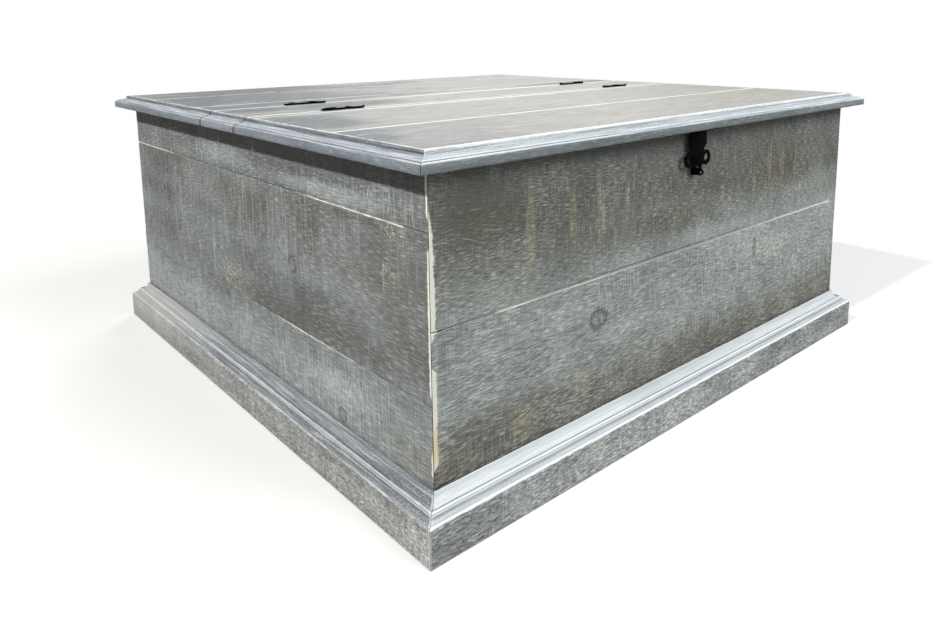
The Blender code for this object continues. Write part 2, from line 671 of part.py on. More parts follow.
def hasps(lid_axes):
    leaf_mesh = hasp_leaf_mesh()
    pin = pin_mesh("hasp_pin", HASP_WIDTH, HASP_PIN_HEAD_RADIUS, HASP_PIN_HEAD_HEIGHT)
    strap = strap_mesh()
    staple = staple_mesh()
    for (name, facing), axis in zip((("front", -1), ("back", 1)), lid_axes):
        turn = 0 if facing < 0 else pi
        place = (0, facing * HASP_Y, HASP_Z)
        leaf = link_part(f"{name}_hasp_leaf", leaf_mesh, IRON, place, turn)
        hasp_pin = link_part(f"{name}_hasp_pin", pin, IRON, place, turn)
        swing = link_part(f"{name}_hasp_strap", strap, IRON, place, turn)
        link_part(f"{name}_hasp_staple", staple, IRON, (0, facing * (BODY_DEPTH / 2 + GAP), STAPLE_Z), turn)
        carry(axis, [leaf, hasp_pin])
        carry(joint_axis(f"{name}_hasp_axis", place), [swing])


carcass()
floor()
plinth()
centre_strip()
LID_AXES = (lid("front_lid", -1, FRONT_LID_JOINTS), lid("back_lid", 1, BACK_LID_JOINTS))
hinges(LID_AXES)
hasps(LID_AXES)
bpy.context.view_layer.update()
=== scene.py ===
# %% [markdown]
# A low square storage trunk in grey-washed pine. The frame holds every piece at its real size,
# so this lesson never moves or resizes anything. It takes each piece in turn, works its surface
# as wear and the saw worked the real one, and gives it a finish made of shader nodes.

# %% Load the frame
import json
from math import atan2, cos, hypot, radians, sin

import bmesh
import bpy
from mathutils import Matrix, Vector, noise


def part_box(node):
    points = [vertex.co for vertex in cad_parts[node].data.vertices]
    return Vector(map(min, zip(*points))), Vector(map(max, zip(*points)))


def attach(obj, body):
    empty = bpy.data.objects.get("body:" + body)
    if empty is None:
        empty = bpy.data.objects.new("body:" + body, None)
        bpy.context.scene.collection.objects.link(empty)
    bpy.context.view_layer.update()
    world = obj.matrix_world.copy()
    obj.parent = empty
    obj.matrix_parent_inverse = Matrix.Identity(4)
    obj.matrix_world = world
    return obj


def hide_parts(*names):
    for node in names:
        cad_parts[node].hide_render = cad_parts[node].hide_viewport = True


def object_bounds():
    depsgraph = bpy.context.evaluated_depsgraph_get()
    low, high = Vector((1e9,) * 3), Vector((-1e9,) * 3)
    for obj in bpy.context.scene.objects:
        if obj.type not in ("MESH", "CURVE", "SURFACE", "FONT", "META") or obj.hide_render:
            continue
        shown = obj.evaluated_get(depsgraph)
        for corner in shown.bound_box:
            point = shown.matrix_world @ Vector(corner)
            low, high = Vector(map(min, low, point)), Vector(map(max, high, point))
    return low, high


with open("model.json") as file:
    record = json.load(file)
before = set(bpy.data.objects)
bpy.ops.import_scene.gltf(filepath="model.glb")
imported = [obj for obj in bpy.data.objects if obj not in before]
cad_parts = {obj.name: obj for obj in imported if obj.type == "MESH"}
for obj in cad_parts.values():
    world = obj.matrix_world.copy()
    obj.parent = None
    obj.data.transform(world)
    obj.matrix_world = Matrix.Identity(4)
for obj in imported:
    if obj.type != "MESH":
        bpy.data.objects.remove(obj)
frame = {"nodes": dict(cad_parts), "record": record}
CAD_BOX = [list(corner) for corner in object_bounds()]
RECORD = frame["record"]
BODY_OF = {node: body for body, nodes in RECORD["behaviour"]["bodies"].items() for node in nodes}
SLOT_OF = {part["node"]: part["material_slot"] for part in RECORD["subparts"]}
NODES = sorted(BODY_OF)
X, Y, Z = 0, 1, 2


def in_scene(name, data):
    """A new object that is in the scene."""
    made = bpy.data.objects.new(name, data)
    bpy.context.scene.collection.objects.link(made)
    return made


def mesh_of(bm, name):
    mesh = bpy.data.meshes.new(name)
    bm.to_mesh(mesh)
    bm.free()
    return mesh


# %% [markdown]
# The camera stands near the left front corner, a little above the top. The picture is part of a
# larger one: its optical axis isn't in the middle, and a lens shift says by how much. Building
# the camera's axes from a heading, a dip and a roll is easier to read than three Euler angles.

# %% Camera
IMAGE_WIDTH, IMAGE_HEIGHT = 947, 632
FOCAL_LENGTH = 751.3
OPTICAL_AXIS = (493.6, 150.0)
CAMERA_PLACE = Vector((-0.9307, -1.0919, 0.5657))
HEADING, DIP, ROLL = radians(48.43), radians(8.87), radians(-0.5)
SENSOR_WIDTH = 36.0

forward = Vector((cos(DIP) * cos(HEADING), cos(DIP) * sin(HEADING), -sin(DIP)))
level = Vector((sin(HEADING), -cos(HEADING), 0))
upright_axis = level.cross(forward)
camera_x = cos(ROLL) * level + sin(ROLL) * upright_axis
camera_y = cos(ROLL) * upright_axis - sin(ROLL) * level

lens = bpy.data.cameras.new("camera")
lens.sensor_width = SENSOR_WIDTH
lens.lens = FOCAL_LENGTH / IMAGE_WIDTH * SENSOR_WIDTH
lens.shift_x = (IMAGE_WIDTH / 2 - OPTICAL_AXIS[0]) / IMAGE_WIDTH
lens.shift_y = (OPTICAL_AXIS[1] - IMAGE_HEIGHT / 2) / IMAGE_WIDTH
camera = in_scene("camera", lens)
turn = Matrix((camera_x, camera_y, -forward)).transposed()
camera.matrix_world = Matrix.Translation(CAMERA_PLACE) @ turn.to_4x4()
bpy.context.scene.camera = camera
bpy.context.scene.view_settings.view_transform = "Standard"
print(f"lens {lens.lens:.2f} mm, shift {lens.shift_x:.4f} {lens.shift_y:.4f}")

# %% [markdown]
# Every finish below is a small network of shader nodes. A few helpers keep the networks short:
# one adds a node and fills its sockets with a number or a link, and the others wrap the nodes
# that come up again and again. All of them add to the network that lies on the bench. Colours are
# written as the screen shows them and turned into the linear values that a shader works with. A
# finish is laid on as a painter lays coats: each call of lay puts one paint over the last, where
# a mask from 0 to 1 lets it show.

# %% Shader helpers
SRGB_POWER = 2.2
BENCH = {}


def shown(red, green, blue):
    """A colour as a screen shows it, from 0 to 255, in linear light."""
    return (*[(value / 255) ** SRGB_POWER for value in (red, green, blue)], 1.0)


def plug(socket, value):
    if isinstance(value, bpy.types.NodeSocket):
        BENCH["tree"].links.new(value, socket)
    else:
        socket.default_value = value


def add(kind, inputs, **settings):
    made = BENCH["tree"].nodes.new("ShaderNode" + kind)
    for key, value in settings.items():
        setattr(made, key, value)
    for key, value in inputs.items():
        plug(made.inputs[key], value)
    return made


def calc(operation, first, second=0.0):
    return add("Math", {0: first, 1: second}, operation=operation).outputs[0]


def both(first, second):
    """Where two masks are both set, or one mask at a strength."""
    return calc("MULTIPLY", first, second)


def unless(mask, other):
    """A mask, less where another one is set."""
    return both(mask, calc("SUBTRACT", 1.0, other))


def total(*parts):
    """The sum of fields, each given with its weight."""
    added = 0.0
    for value, weight in parts:
        added = add("Math", {0: value, 1: weight, 2: added}, operation="MULTIPLY_ADD").outputs[0]
    return added


def grade(value, low, high):
    """0 below low and 1 above high, with a soft step between; the other way round if low is higher."""
    inputs = {"Value": value, "From Min": low, "From Max": high}
    return add("MapRange", inputs, interpolation_type="SMOOTHSTEP").outputs[0]


def blend(factor, first, second):
    return add("Mix", {0: factor, 6: first, 7: second}, data_type="RGBA").outputs[2]


def lay(under, paint, mask, strength=1.0):
    """A paint over a colour where a mask is, at this strength at most."""
    return blend(both(mask, strength), under, paint)


def scaled(colour, factor):
    """The same colour, lighter or darker."""
    return add("VectorMath", {0: colour, "Scale": factor}, operation="SCALE").outputs[0]


def vector_calc(operation, first, second=(0, 0, 0)):
    return add("VectorMath", {0: first, 1: second}, operation=operation)


def cloudy(place, scale, detail=2.0, roughness=0.5):
    """Noise that is the same in all directions."""
    inputs = {"Vector": place, "Scale": scale, "Detail": detail, "Roughness": roughness}
    return add("TexNoise", inputs).outputs["Fac"]


def streaky(place, axis, squeeze, scale, detail=2.0, roughness=0.55):
    """Noise drawn out along one axis, the more the smaller the squeeze."""
    stretch = tuple(squeeze if side == axis else 1.0 for side in (X, Y, Z))
    return cloudy(vector_calc("MULTIPLY", place, stretch).outputs[0], scale, detail, roughness)


def attribute(name, output="Fac"):
    return add("Attribute", {}, attribute_name=name).outputs[output]


def start_finish(name):
    """A new material, whose network now lies on the bench, and its shader."""
    material = bpy.data.materials.new(name)
    material.use_nodes = True
    BENCH["tree"] = material.node_tree
    return material, material.node_tree.nodes["Principled BSDF"]


def skin(shader, colour, uneven, share, roughness, specular=0.5):
    """A surface's colour and shine, duller where an uneven field is high."""
    plug(shader.inputs["Base Color"], colour)
    plug(shader.inputs["Roughness"], total((uneven, share), (1.0, roughness)))
    shader.inputs["Specular IOR Level"].default_value = specular


def raise_grain(shader, height, strength, depth):
    bump = add("Bump", {"Height": height, "Strength": strength, "Distance": depth})
    plug(shader.inputs["Normal"], bump.outputs[0])


print("shader helpers ready")

# %% [markdown]
# The light. A small lamp high on the left throws the lid's overhang as a crisp dark band on the
# left wall, while the front is lit softly from the right. A third panel keeps the back readable.
# The world is white where the camera or a reflection sees it, and gives the surfaces only a
# quiet grey light, so that the band under the lid stays dark.

# %% Lights and world
MIDDLE = Vector((0, 0, 0.25))
WORLD_LIGHT = 0.20
WHITE = 1, 1, 1, 1


def panel(name, direction, distance, size, power, colour):
    """A square area lamp that looks at the middle of the trunk."""
    lamp = bpy.data.lights.new(name, "AREA")
    lamp.shape = "SQUARE"
    lamp.size = size
    lamp.energy = power
    lamp.color = colour
    holder = in_scene(name, lamp)
    towards = Vector(direction).normalized()
    facing = towards.to_track_quat("Z", "Y").to_matrix().to_4x4()
    holder.matrix_world = Matrix.Translation(MIDDLE + distance * towards) @ facing


panel("key_left", (-0.72, -0.14, 0.67), distance=5.0, size=0.22, power=220, colour=(1.0, 0.985, 0.96))
panel("fill_front_right", (0.30, -0.70, 0.65), distance=3.4, size=2.2, power=92, colour=(0.98, 0.99, 1.0))
panel("fill_back", (0.62, 0.75, 0.30), distance=3.6, size=2.4, power=62, colour=(1.0, 1.0, 1.0))

world = bpy.data.worlds.new("studio")
world.use_nodes = True
bpy.context.scene.world = world
BENCH["tree"] = world.node_tree
seen = add("LightPath", {}).outputs
mirrored = calc("MAXIMUM", seen["Is Glossy Ray"], seen["Is Transmission Ray"])
white = calc("MAXIMUM", seen["Is Camera Ray"], mirrored)
level_grey = (WORLD_LIGHT, WORLD_LIGHT, WORLD_LIGHT, 1)
plug(world.node_tree.nodes["Background"].inputs["Color"], blend(white, level_grey, WHITE))
print(f"{len(bpy.data.lights)} lamps")

# %% [markdown]
# The floor is a plain pale disc. For the camera it is nearly white and keeps the trunk's shadow,
# and away from the trunk it fades into the white world. Light that bounces off it meets a darker
# grey, as it would off an ordinary floor, or the trunk would glow from below.

# %% Floor
FLOOR_RADIUS, FLOOR_SIDES, FLOOR_DROP = 9.0, 96, 0.0004
FLOOR_SEEN, FLOOR_BOUNCE = shown(246, 246, 245), shown(140, 140, 139)
FLOOR_ROUGHNESS = 0.9
FADE_FROM, FADE_TO = 1.0, 2.0

bm = bmesh.new()
bmesh.ops.create_circle(bm, cap_ends=True, segments=FLOOR_SIDES, radius=FLOOR_RADIUS)
bmesh.ops.translate(bm, verts=bm.verts, vec=(0, 0, -FLOOR_DROP))
floor_mesh = mesh_of(bm, "studio_floor")
studio_floor = in_scene("studio_floor", floor_mesh)

floor_finish, shader = start_finish("pale_floor")
by_camera = add("LightPath", {}).outputs["Is Camera Ray"]
place = add("TexCoord", {}).outputs["Object"]
away = vector_calc("LENGTH", place).outputs["Value"]
fade = both(grade(away, FADE_FROM, FADE_TO), by_camera)
plug(shader.inputs["Base Color"], blend(by_camera, FLOOR_BOUNCE, FLOOR_SEEN))
shader.inputs["Roughness"].default_value = FLOOR_ROUGHNESS
shader.inputs["Specular IOR Level"].default_value = 0.0
plain_white = add("Emission", {"Color": WHITE, "Strength": 1.0})
joined = add("MixShader", {0: fade, 1: shader.outputs[0], 2: plain_white.outputs[0]})
plug(floor_finish.node_tree.nodes["Material Output"].inputs["Surface"], joined.outputs[0])
floor_mesh.materials.append(floor_finish)
print(f"floor {2 * FLOOR_RADIUS} m across")

# %% [markdown]
# The timber. The frame's boards are perfectly straight, and real rough-sawn pine is not. Each
# board is copied, its triangles are dissolved back to whole faces, narrow strips are cut beside
# its arrises and the rest is cut into small steps. Then the surface is moved inwards only: a slow
# wave over the faces, and chips along the arrises. Moving inwards keeps the trunk's size and
# never closes a joint.
#
# Four values go with each point into the finish: how much an arris is rubbed, how deep a hollow is,
# which darkens it as dirt and painted shade, whether the face was ever washed, and where in the
# grain the board was cut.
# A wide strip makes a wide band of wear. Ends and long edges each have their own wear, because
# upright corners get more knocks than level edges.

# %% Working the timber
WELD = 0.00005
FLAT = radians(1.0)
CUT_TOLERANCE = 0.000001
ARRIS_STRIP = 0.0032
RUN_STEP, CROSS_STEP = 0.005, 0.014
LONG_EDGE, ALONG = 3, 0.999
FULL_ARRIS, FULL_HOLLOW = radians(28), radians(60)
END_FACING, INSIDE_FACING = 0.15, 0.6
CHIP_SIZE, SPLINTER_SIZE, WAVE_SIZE = 0.030, 0.007, 0.120
EASED, CHIPPED, SPLINTERED = 0.15, 0.9, 0.4
SHIFT_STEPS, SHIFT_WRAPS = (0.37, 0.53, 0.71), (4.1, 3.7, 4.7)
BOARD_SMOOTH = radians(50)


def welded_copy(node):
    bm = bmesh.new()
    bm.from_mesh(frame["nodes"][node].data)
    bmesh.ops.remove_doubles(bm, verts=bm.verts, dist=WELD)
    bmesh.ops.dissolve_limit(bm, angle_limit=FLAT, verts=bm.verts, edges=bm.edges)
    return bm


def axes_by_length(node):
    """The run of a piece, then its width, then its thickness."""
    low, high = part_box(node)
    return sorted((X, Y, Z), key=lambda axis: low[axis] - high[axis])


def cut_at(bm, axis, places):
    """Cut across a piece, square to one axis, at each place."""
    normal = Vector([1.0 if side == axis else 0.0 for side in (X, Y, Z)])
    for place in places:
        geometry = bm.verts[:] + bm.edges[:] + bm.faces[:]
        bmesh.ops.bisect_plane(bm, geom=geometry, dist=CUT_TOLERANCE,
                               plane_co=normal * place, plane_no=normal)


def cut_strips(bm, node, axis, width=ARRIS_STRIP):
    """A cut beside each of the two arrises that close a piece along one axis."""
    low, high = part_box(node)
    cut_at(bm, axis, (low[axis] + width, high[axis] - width))


def cut_steps(bm, axis, step):
    """Divide every long edge along one axis into equal steps."""
    edges = []
    for edge in bm.edges:
        line = edge.verts[1].co - edge.verts[0].co
        if line.length > LONG_EDGE * step and abs(line[axis]) > ALONG * line.length:
            edges.append(edge)
    longest = max([edge.calc_length() for edge in edges], default=step)
    bmesh.ops.subdivide_edges(bm, edges=edges, cuts=round(longest / step) - 1, use_grid_fill=True)


def arris_at(vert, run, end_wear, edge_wear):
    """How sharp an arris a point lies on, from 0 to 1, times the wear of ends or of long edges."""
    arris = 0.0
    for edge in vert.link_edges:
        at_end = any(abs(face.normal[run]) > END_FACING for face in edge.link_faces)
        sharp = min(edge.calc_face_angle_signed(0.0) / FULL_ARRIS, 1.0)
        arris = max(arris, sharp * (end_wear if at_end else edge_wear))
    return arris


def weather(bm, shift, chips, wave, run=X, end_wear=1.0, edge_wear=1.0, inside=None):
    """Chip the arrises, wave the faces, and note rubbed places, hollows darkened as dirt and painted
    shade, and unwashed places.
    """
    rubbed = bm.verts.layers.float.new("rubbed")
    hollow_dirt_shade = bm.verts.layers.float.new("hollow_dirt_shade")
    bare = bm.verts.layers.float.new("bare")
    moved = bm.verts.layers.float_vector.new("shift")
    bm.normal_update()
    steps = []
    for vert in bm.verts:
        arris = arris_at(vert, run, end_wear, edge_wear)
        hollow = -min(edge.calc_face_angle_signed(0.0) for edge in vert.link_edges)
        place = vert.co + shift
        chip = max(noise.noise(place / CHIP_SIZE), 0.0)
        splinter = max(noise.noise(place / SPLINTER_SIZE), 0.0)
        swell = 0.5 + 0.5 * noise.noise(place / WAVE_SIZE)
        worn = min(arris, 1.0) * (EASED + CHIPPED * chip + SPLINTERED * splinter)
        steps.append((vert, vert.normal * (chips * worn + wave * swell)))
        vert[rubbed] = arris
        # How deep a hollow is, for dirt and painted shade.
        vert[hollow_dirt_shade] = min(max(hollow, 0.0) / FULL_HOLLOW, 1.0)
        vert[moved] = shift
        vert[bare] = 1.0 if inside and vert.normal.dot(inside) > INSIDE_FACING else 0.0
    for vert, step in steps:
        vert.co -= step


def board_shift(node):
    """A place of its own in the grain for each board, so that no two boards look cut from one."""
    number = NODES.index(node)
    return Vector([step * number % wrap for step, wrap in zip(SHIFT_STEPS, SHIFT_WRAPS)])


def make_piece(bm, name, body, slot, finish, smooth_below):
    """Make a mesh object, let it ride on a body and take a finish. The slot is not used."""
    mesh = mesh_of(bm, name)
    mesh.materials.append(finish)
    mesh.shade_smooth()
    mesh.set_sharp_from_angle(angle=smooth_below)
    piece = in_scene(name, mesh)
    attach(piece, body)
    return piece


def stand_for(bm, node, finish, ending, smooth_below):
    """A piece that rides where its node rides and stands for that node."""
    piece = make_piece(bm, f"{node}_{ending}", BODY_OF[node], SLOT_OF[node], finish, smooth_below)
    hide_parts(node)
    print(piece.name, len(piece.data.polygons), "faces")


def timber_board(node, finish, cross, chips, wave, inside, end, edge):
    """A board of this width axis, whose ends and long edges each have a strip width and a wear."""
    run = axes_by_length(node)[0]
    bm = welded_copy(node)
    cut_strips(bm, node, run, end[0])
    cut_strips(bm, node, cross, edge[0])
    cut_strips(bm, node, X + Y + Z - run - cross)
    cut_steps(bm, run, RUN_STEP)
    cut_steps(bm, cross, CROSS_STEP)
    weather(bm, board_shift(node), chips, wave, run, end[1], edge[1], inside)
    stand_for(bm, node, finish, "timber", BOARD_SMOOTH)


print("timber helpers ready")

# %% [markdown]
# Marks that belong to one place, such as a knot, a stain or a scratch, are ellipses on a wall. A
# Mapping node moves a point into the ellipse's own measure, where the rim is at a distance of 1,
# and the nearest of a list of ellipses wins. The depth keeps a mark on its own side of the trunk.
# The tables are in millimetres. A mark there is its place along the wall, its height, and half of
# its length and of its breadth. An upright one is its place, its two ends and half its width.

# %% Marks on one wall
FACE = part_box("right_board_lower")[1][X]
MARK_DEPTH = 0.05
MARK_FULL, MARK_GONE, MARK_SPREAD = 0.3, 1.1, 0.5
FAR_OFF = 9.0
MM_PER_METRE = 1000
COLUMN_HALF, SCRATCH_HALF = 10.5, 0.7


def face_at(axis, level):
    """A function that puts a mark on the face at this level along an axis."""

    def put(first, second, half_first, half_second, tilt=0.0):
        centre, radii = [first, second], [half_first, half_second]
        centre.insert(axis, level)
        radii.insert(axis, MARK_DEPTH)
        return centre, radii, (0, tilt, 0)

    return put


on_front, on_back = face_at(Y, -FACE), face_at(Y, FACE)
on_left, on_right = face_at(X, -FACE), face_at(X, FACE)


def upright(place, low, high, half_width=COLUMN_HALF):
    """A mark that stands from one height to another."""
    return place, (low + high) / 2, half_width, (high - low) / 2


def scratch(start, end):
    """A thin tilted mark from one point of a wall to another."""
    run, rise = end[0] - start[0], end[1] - start[1]
    middle = (start[0] + end[0]) / 2, (start[1] + end[1]) / 2
    return *middle, hypot(run, rise) / 2, SCRATCH_HALF, -atan2(rise, run)


def metres(mark):
    """A mark of a table with its four lengths in metres."""
    return *[length / MM_PER_METRE for length in mark[:4]], *mark[4:]


def marks_on(put_near, near, put_far, far):
    """The marks of a wall and of the wall behind it, as one list for each kind."""
    placed = {}
    for kind in {**near, **far}:
        placed[kind] = [put_near(*metres(mark)) for mark in near.get(kind, ())]
        placed[kind] += [put_far(*metres(mark)) for mark in far.get(kind, ())]
    return placed


def nearest_mark(place, marks):
    """Distance from the nearest mark's middle, where 1 is its rim."""
    nearest = FAR_OFF
    for centre, radii, turned in marks:
        inputs = {"Vector": place, "Location": centre, "Rotation": turned, "Scale": radii}
        measured = add("Mapping", inputs, vector_type="TEXTURE").outputs[0]
        nearest = calc("MINIMUM", nearest, vector_calc("LENGTH", measured).outputs["Value"])
    return nearest


def soft_marks(place, marks, uneven, spread=MARK_SPREAD):
    """1 inside the marks, fading out past their rims, with an uneven edge."""
    distance = total((nearest_mark(place, marks), 1.0), (uneven, spread))
    return grade(distance, MARK_GONE + spread / 2, MARK_FULL + spread / 2)


print(f"walls face out at {FACE:.3f} m")

# %% [markdown]
# Unfinished pine shows inside the trunk and under the lids. Its rings are level lines of a slowly
# wandering field that rises across the board, which gives a flat-sawn board's arches.

# %% Bare pine colour
PINE_PALE = shown(206, 174, 126)
PINE_MID = shown(190, 150, 100)
PINE_DEEP = shown(166, 122, 76)
PINE_FIBRE = shown(138, 98, 60)
RINGS_PER_METRE, RING_WANDER = 34.0, 5.5
FULL_TURN = radians(360)


def grain_place():
    """A point's place on the trunk, and that place shifted into its own board's grain."""
    place = add("TexCoord", {}).outputs["Object"]
    return place, vector_calc("ADD", place, attribute("shift", "Vector")).outputs[0]


def ring_field(own, run, cross):
    across = add("SeparateXYZ", {0: own}).outputs[cross]
    wander = streaky(own, run, squeeze=0.22, scale=7.0, detail=1.5)
    phase = total((across, RINGS_PER_METRE * FULL_TURN), (wander, RING_WANDER * FULL_TURN))
    return grade(calc("SINE", phase), low=-1.0, high=1.0)


def bare_pine_colour(own, run, cross):
    colour = blend(ring_field(own, run, cross), PINE_PALE, PINE_DEEP)
    band = grade(streaky(own, run, squeeze=0.05, scale=34.0, detail=3.0), low=0.30, high=0.70)
    colour = lay(colour, PINE_MID, band, strength=0.5)
    fibre = streaky(own, run, squeeze=0.05, scale=430.0, detail=3.0, roughness=0.62)
    return lay(colour, PINE_FIBRE, grade(fibre, low=0.50, high=0.75), strength=0.35), fibre


print("bare pine ready")

# %% [markdown]
# Two things are common to the walls and the mouldings. A rubbed arris is pale, with a rim that
# noise makes ragged. The weave is what the saw and the grain left: fine upright lines cross short
# level dashes, and the wash stayed pale on what stands up and dark in what lies low.

# %% Rubbed arrises and the weave
RAISED_CREAM = shown(218, 219, 208)
CREAM_SHARE = 0.30
RUBBED_MIDDLE, WEAVE_MIDDLE = 0.75, 0.81
GRAIN_SQUEEZE = 0.10


def rubbed_field(own, extra, low, high):
    """Where an arris is rubbed through, broken up by the grain, more or less so in marked places."""
    worn = attribute("rubbed")
    broken = cloudy(own, scale=60.0, detail=3.0, roughness=0.6)
    fine = cloudy(own, scale=620.0, roughness=0.7)
    score = total((worn, 1.0), (broken, 0.9), (fine, 0.6), (extra, 1.0))
    return grade(score, low + RUBBED_MIDDLE, high + RUBBED_MIDDLE)


def weave_fields(own, run, grain_size, saw_size, squeeze=GRAIN_SQUEEZE):
    """Level dashes of grain, upright lines of the saw, and fine grit."""
    dash = streaky(own, run, squeeze, 1 / grain_size, detail=1.0)
    sawn = streaky(own, Z, squeeze=0.05, scale=1 / saw_size, detail=1.0)
    grit = cloudy(own, scale=900.0, detail=1.0)
    return dash, sawn, grit


def woven(colour, own, fields, grain, sawing, darker=0.5, paler=1.8):
    """Sharp paler ticks where the grain stands up, darker pores between them, and saw lines in patches."""
    dash, sawn, grit = fields
    dark = scaled(colour, darker)
    pale = blend(CREAM_SHARE, scaled(colour, paler), RAISED_CREAM)
    patch = cloudy(own, scale=14.0)
    height = total((dash, 1.0), (grit, 0.32), (patch, 0.30), (1.0, -WEAVE_MIDDLE))
    colour = lay(colour, dark, grade(height, low=-0.04, high=-0.20), grain)
    colour = lay(colour, pale, grade(height, low=0.06, high=0.18), grain)
    lined = grade(streaky(own, Z, squeeze=0.35, scale=10.0), low=0.30, high=0.56)
    low_lines = both(grade(sawn, low=0.46, high=0.33), lined)
    high_lines = both(grade(sawn, low=0.54, high=0.67), lined)
    colour = lay(colour, dark, both(low_lines, sawing), strength=0.8)
    return lay(colour, pale, high_lines, sawing)


print("weave ready")

# %% [markdown]
# The grey wash on the walls is a thin stain over rough-sawn timber. Shades change its tone with
# the height: some are the wash's own tone, and some are painted light, namely painted shade under
# the lid's overhang, a painted shadow right under the lid and a painted contact shade at the foot
# by the plinth. The weave goes over that. Then come places: brown stains, pale blooms, columns of
# tan ticks where the blade burnished the wood, yellow specks, frost of upright needles, level
# splinters, strokes of a knock or a scratch, and knots. In calm places the weave is faint, and in
# unsawn ones only the saw lines are. Rubbed arrises come last: cream, honey at the foot of the
# corner, grey along a joint, and none where it's quiet. Over them go dark cracks and painted shade
# lines in gaps.

# %% Grey wash on the walls
WASH_PALE = shown(166, 173, 173)
WASH_BROWN = shown(98, 93, 81)
DARK_WASH_AND_SHADE = shown(92, 93, 87)
# A painted shadow in the band under the lid.
SHADOW_BROWN = shown(72, 64, 54)
SAWN_PALE = shown(204, 211, 208)
TICK_TAN = shown(150, 145, 120)
TICK_CREAM = shown(206, 202, 178)
SPECK_YELLOW = shown(220, 210, 164)
RUBBED_CREAM = shown(246, 245, 232)
RUBBED_HONEY = shown(242, 222, 184)
JOINT_GREY = shown(186, 191, 187)
KNOT_DARK = shown(62, 60, 56)
# Dark for open cracks, and for dirt and painted shade in hollows and gaps and at the foot of the walls.
DIRT_AND_SHADE = shown(30, 28, 26)
KNOT_UNEVEN = 1.1
CALM_GRAIN, CALM_SAWING, QUIET = -0.6, -0.8, -1.7


def knotted(colour, place, own, knots):
    """Knots: a dark broken rim round a speckled heart."""
    rough = cloudy(own, scale=210.0, detail=3.0, roughness=0.65)
    near = nearest_mark(place, knots)
    distance = total((near, 1.0), (rough, KNOT_UNEVEN), (1.0, -KNOT_UNEVEN / 2))
    rim = both(grade(distance, low=1.30, high=0.95), grade(distance, low=0.50, high=0.85))
    heart = grade(distance, low=1.0, high=0.6)
    specks = grade(cloudy(own, scale=480.0, roughness=0.6), low=0.44, high=0.60)
    colour = lay(colour, KNOT_DARK, rim, strength=0.52)
    colour = lay(colour, KNOT_DARK, heart, strength=0.45)
    return lay(colour, SAWN_PALE, both(heart, specks), strength=0.45)


def wall_finish(name, run, look, marks):
    material, shader = start_finish(name)
    place, own = grain_place()
    height = add("SeparateXYZ", {0: place}).outputs[Z]
    band = grade(streaky(own, run, squeeze=0.07, scale=30.0, detail=3.0), low=0.32, high=0.68)
    cloud = grade(cloudy(own, scale=6.0, detail=3.0, roughness=0.6), low=0.34, high=0.66)

    def where(kind, uneven=cloud, spread=MARK_SPREAD):
        return soft_marks(place, marks[kind], uneven, spread)

    colour = lay(blend(band, *look["washes"]), WASH_PALE, cloud, strength=0.30)
    # The shades by height: the wash's own tone, and painted shade and shadow under the lid and at the
    # foot.
    for paint, low, high, strength in look["shades"]:
        colour = lay(colour, paint, grade(height, low, high), strength)
    colour = lay(colour, WASH_BROWN, where("stains"), look["stain"])
    colour = lay(colour, WASH_PALE, where("blooms"), strength=0.60)
    columns = where("columns", spread=0.3)
    colour = lay(colour, TICK_TAN, columns, strength=0.38)
    fields = weave_fields(own, run, *look["sizes"])
    dash, sawn, grit = fields
    grain, sawing = look["weave"]
    calm = where("calm")
    fainter = CALM_SAWING * sawing
    grain = total((calm, CALM_GRAIN * grain), (1.0, grain))
    sawing = total((calm, fainter), (where("unsawn"), fainter), (1.0, sawing))
    colour = woven(colour, own, fields, grain, sawing)
    ticks = grade(streaky(own, run, squeeze=0.20, scale=440.0), low=0.52, high=0.66)
    colour = lay(colour, TICK_CREAM, both(columns, ticks), strength=0.34)
    specks = grade(cloudy(own, scale=250.0, roughness=0.6), low=0.57, high=0.64)
    colour = lay(colour, SPECK_YELLOW, both(specks, where("specks")), strength=0.75)
    needles = grade(streaky(own, Z, squeeze=0.13, scale=620.0), low=0.54, high=0.68)
    colour = lay(colour, SAWN_PALE, both(needles, where("frost")), strength=0.65)
    splinters = grade(streaky(own, run, squeeze=0.16, scale=760.0), low=0.55, high=0.67)
    colour = lay(colour, SAWN_PALE, both(splinters, where("splinters")), strength=0.60)
    paint, strength = look["stroke"]
    colour = lay(colour, paint, where("strokes", grit, spread=0.8), strength)
    colour = knotted(colour, place, own, marks["knots"])
    bare = attribute("bare")
    raw, fibre = bare_pine_colour(own, run, Z)
    colour = blend(bare, colour, raw)
    rubbed = rubbed_field(own, both(where("quiet"), QUIET), low=0.62, high=0.98)
    rubbed = unless(rubbed, bare)
    cream = blend(where("honey"), RUBBED_CREAM, RUBBED_HONEY)
    cream = blend(where("joints"), cream, JOINT_GREY)
    colour = lay(colour, cream, rubbed, strength=0.92)
    # Dark cracks, and painted shade lines in the gaps.
    colour = lay(colour, DIRT_AND_SHADE, where("cracks_and_gap_shade", grit, spread=0.3), strength=0.9)
    skin(shader, colour, fibre, share=0.3, roughness=0.55, specular=0.15)
    raise_grain(shader, total((dash, 1.0), (sawn, 0.8), (grit, 0.5)), strength=0.5, depth=0.0006)
    return material


print("wall finish ready")

# %% [markdown]
# The front and the back share one finish, because their boards run the same way. Its look is two
# tones of wash, the sizes and strengths of grain and saw lines, and how strokes and stains show.
# A shade is a paint, the heights where it starts and where it is full, and its strength.

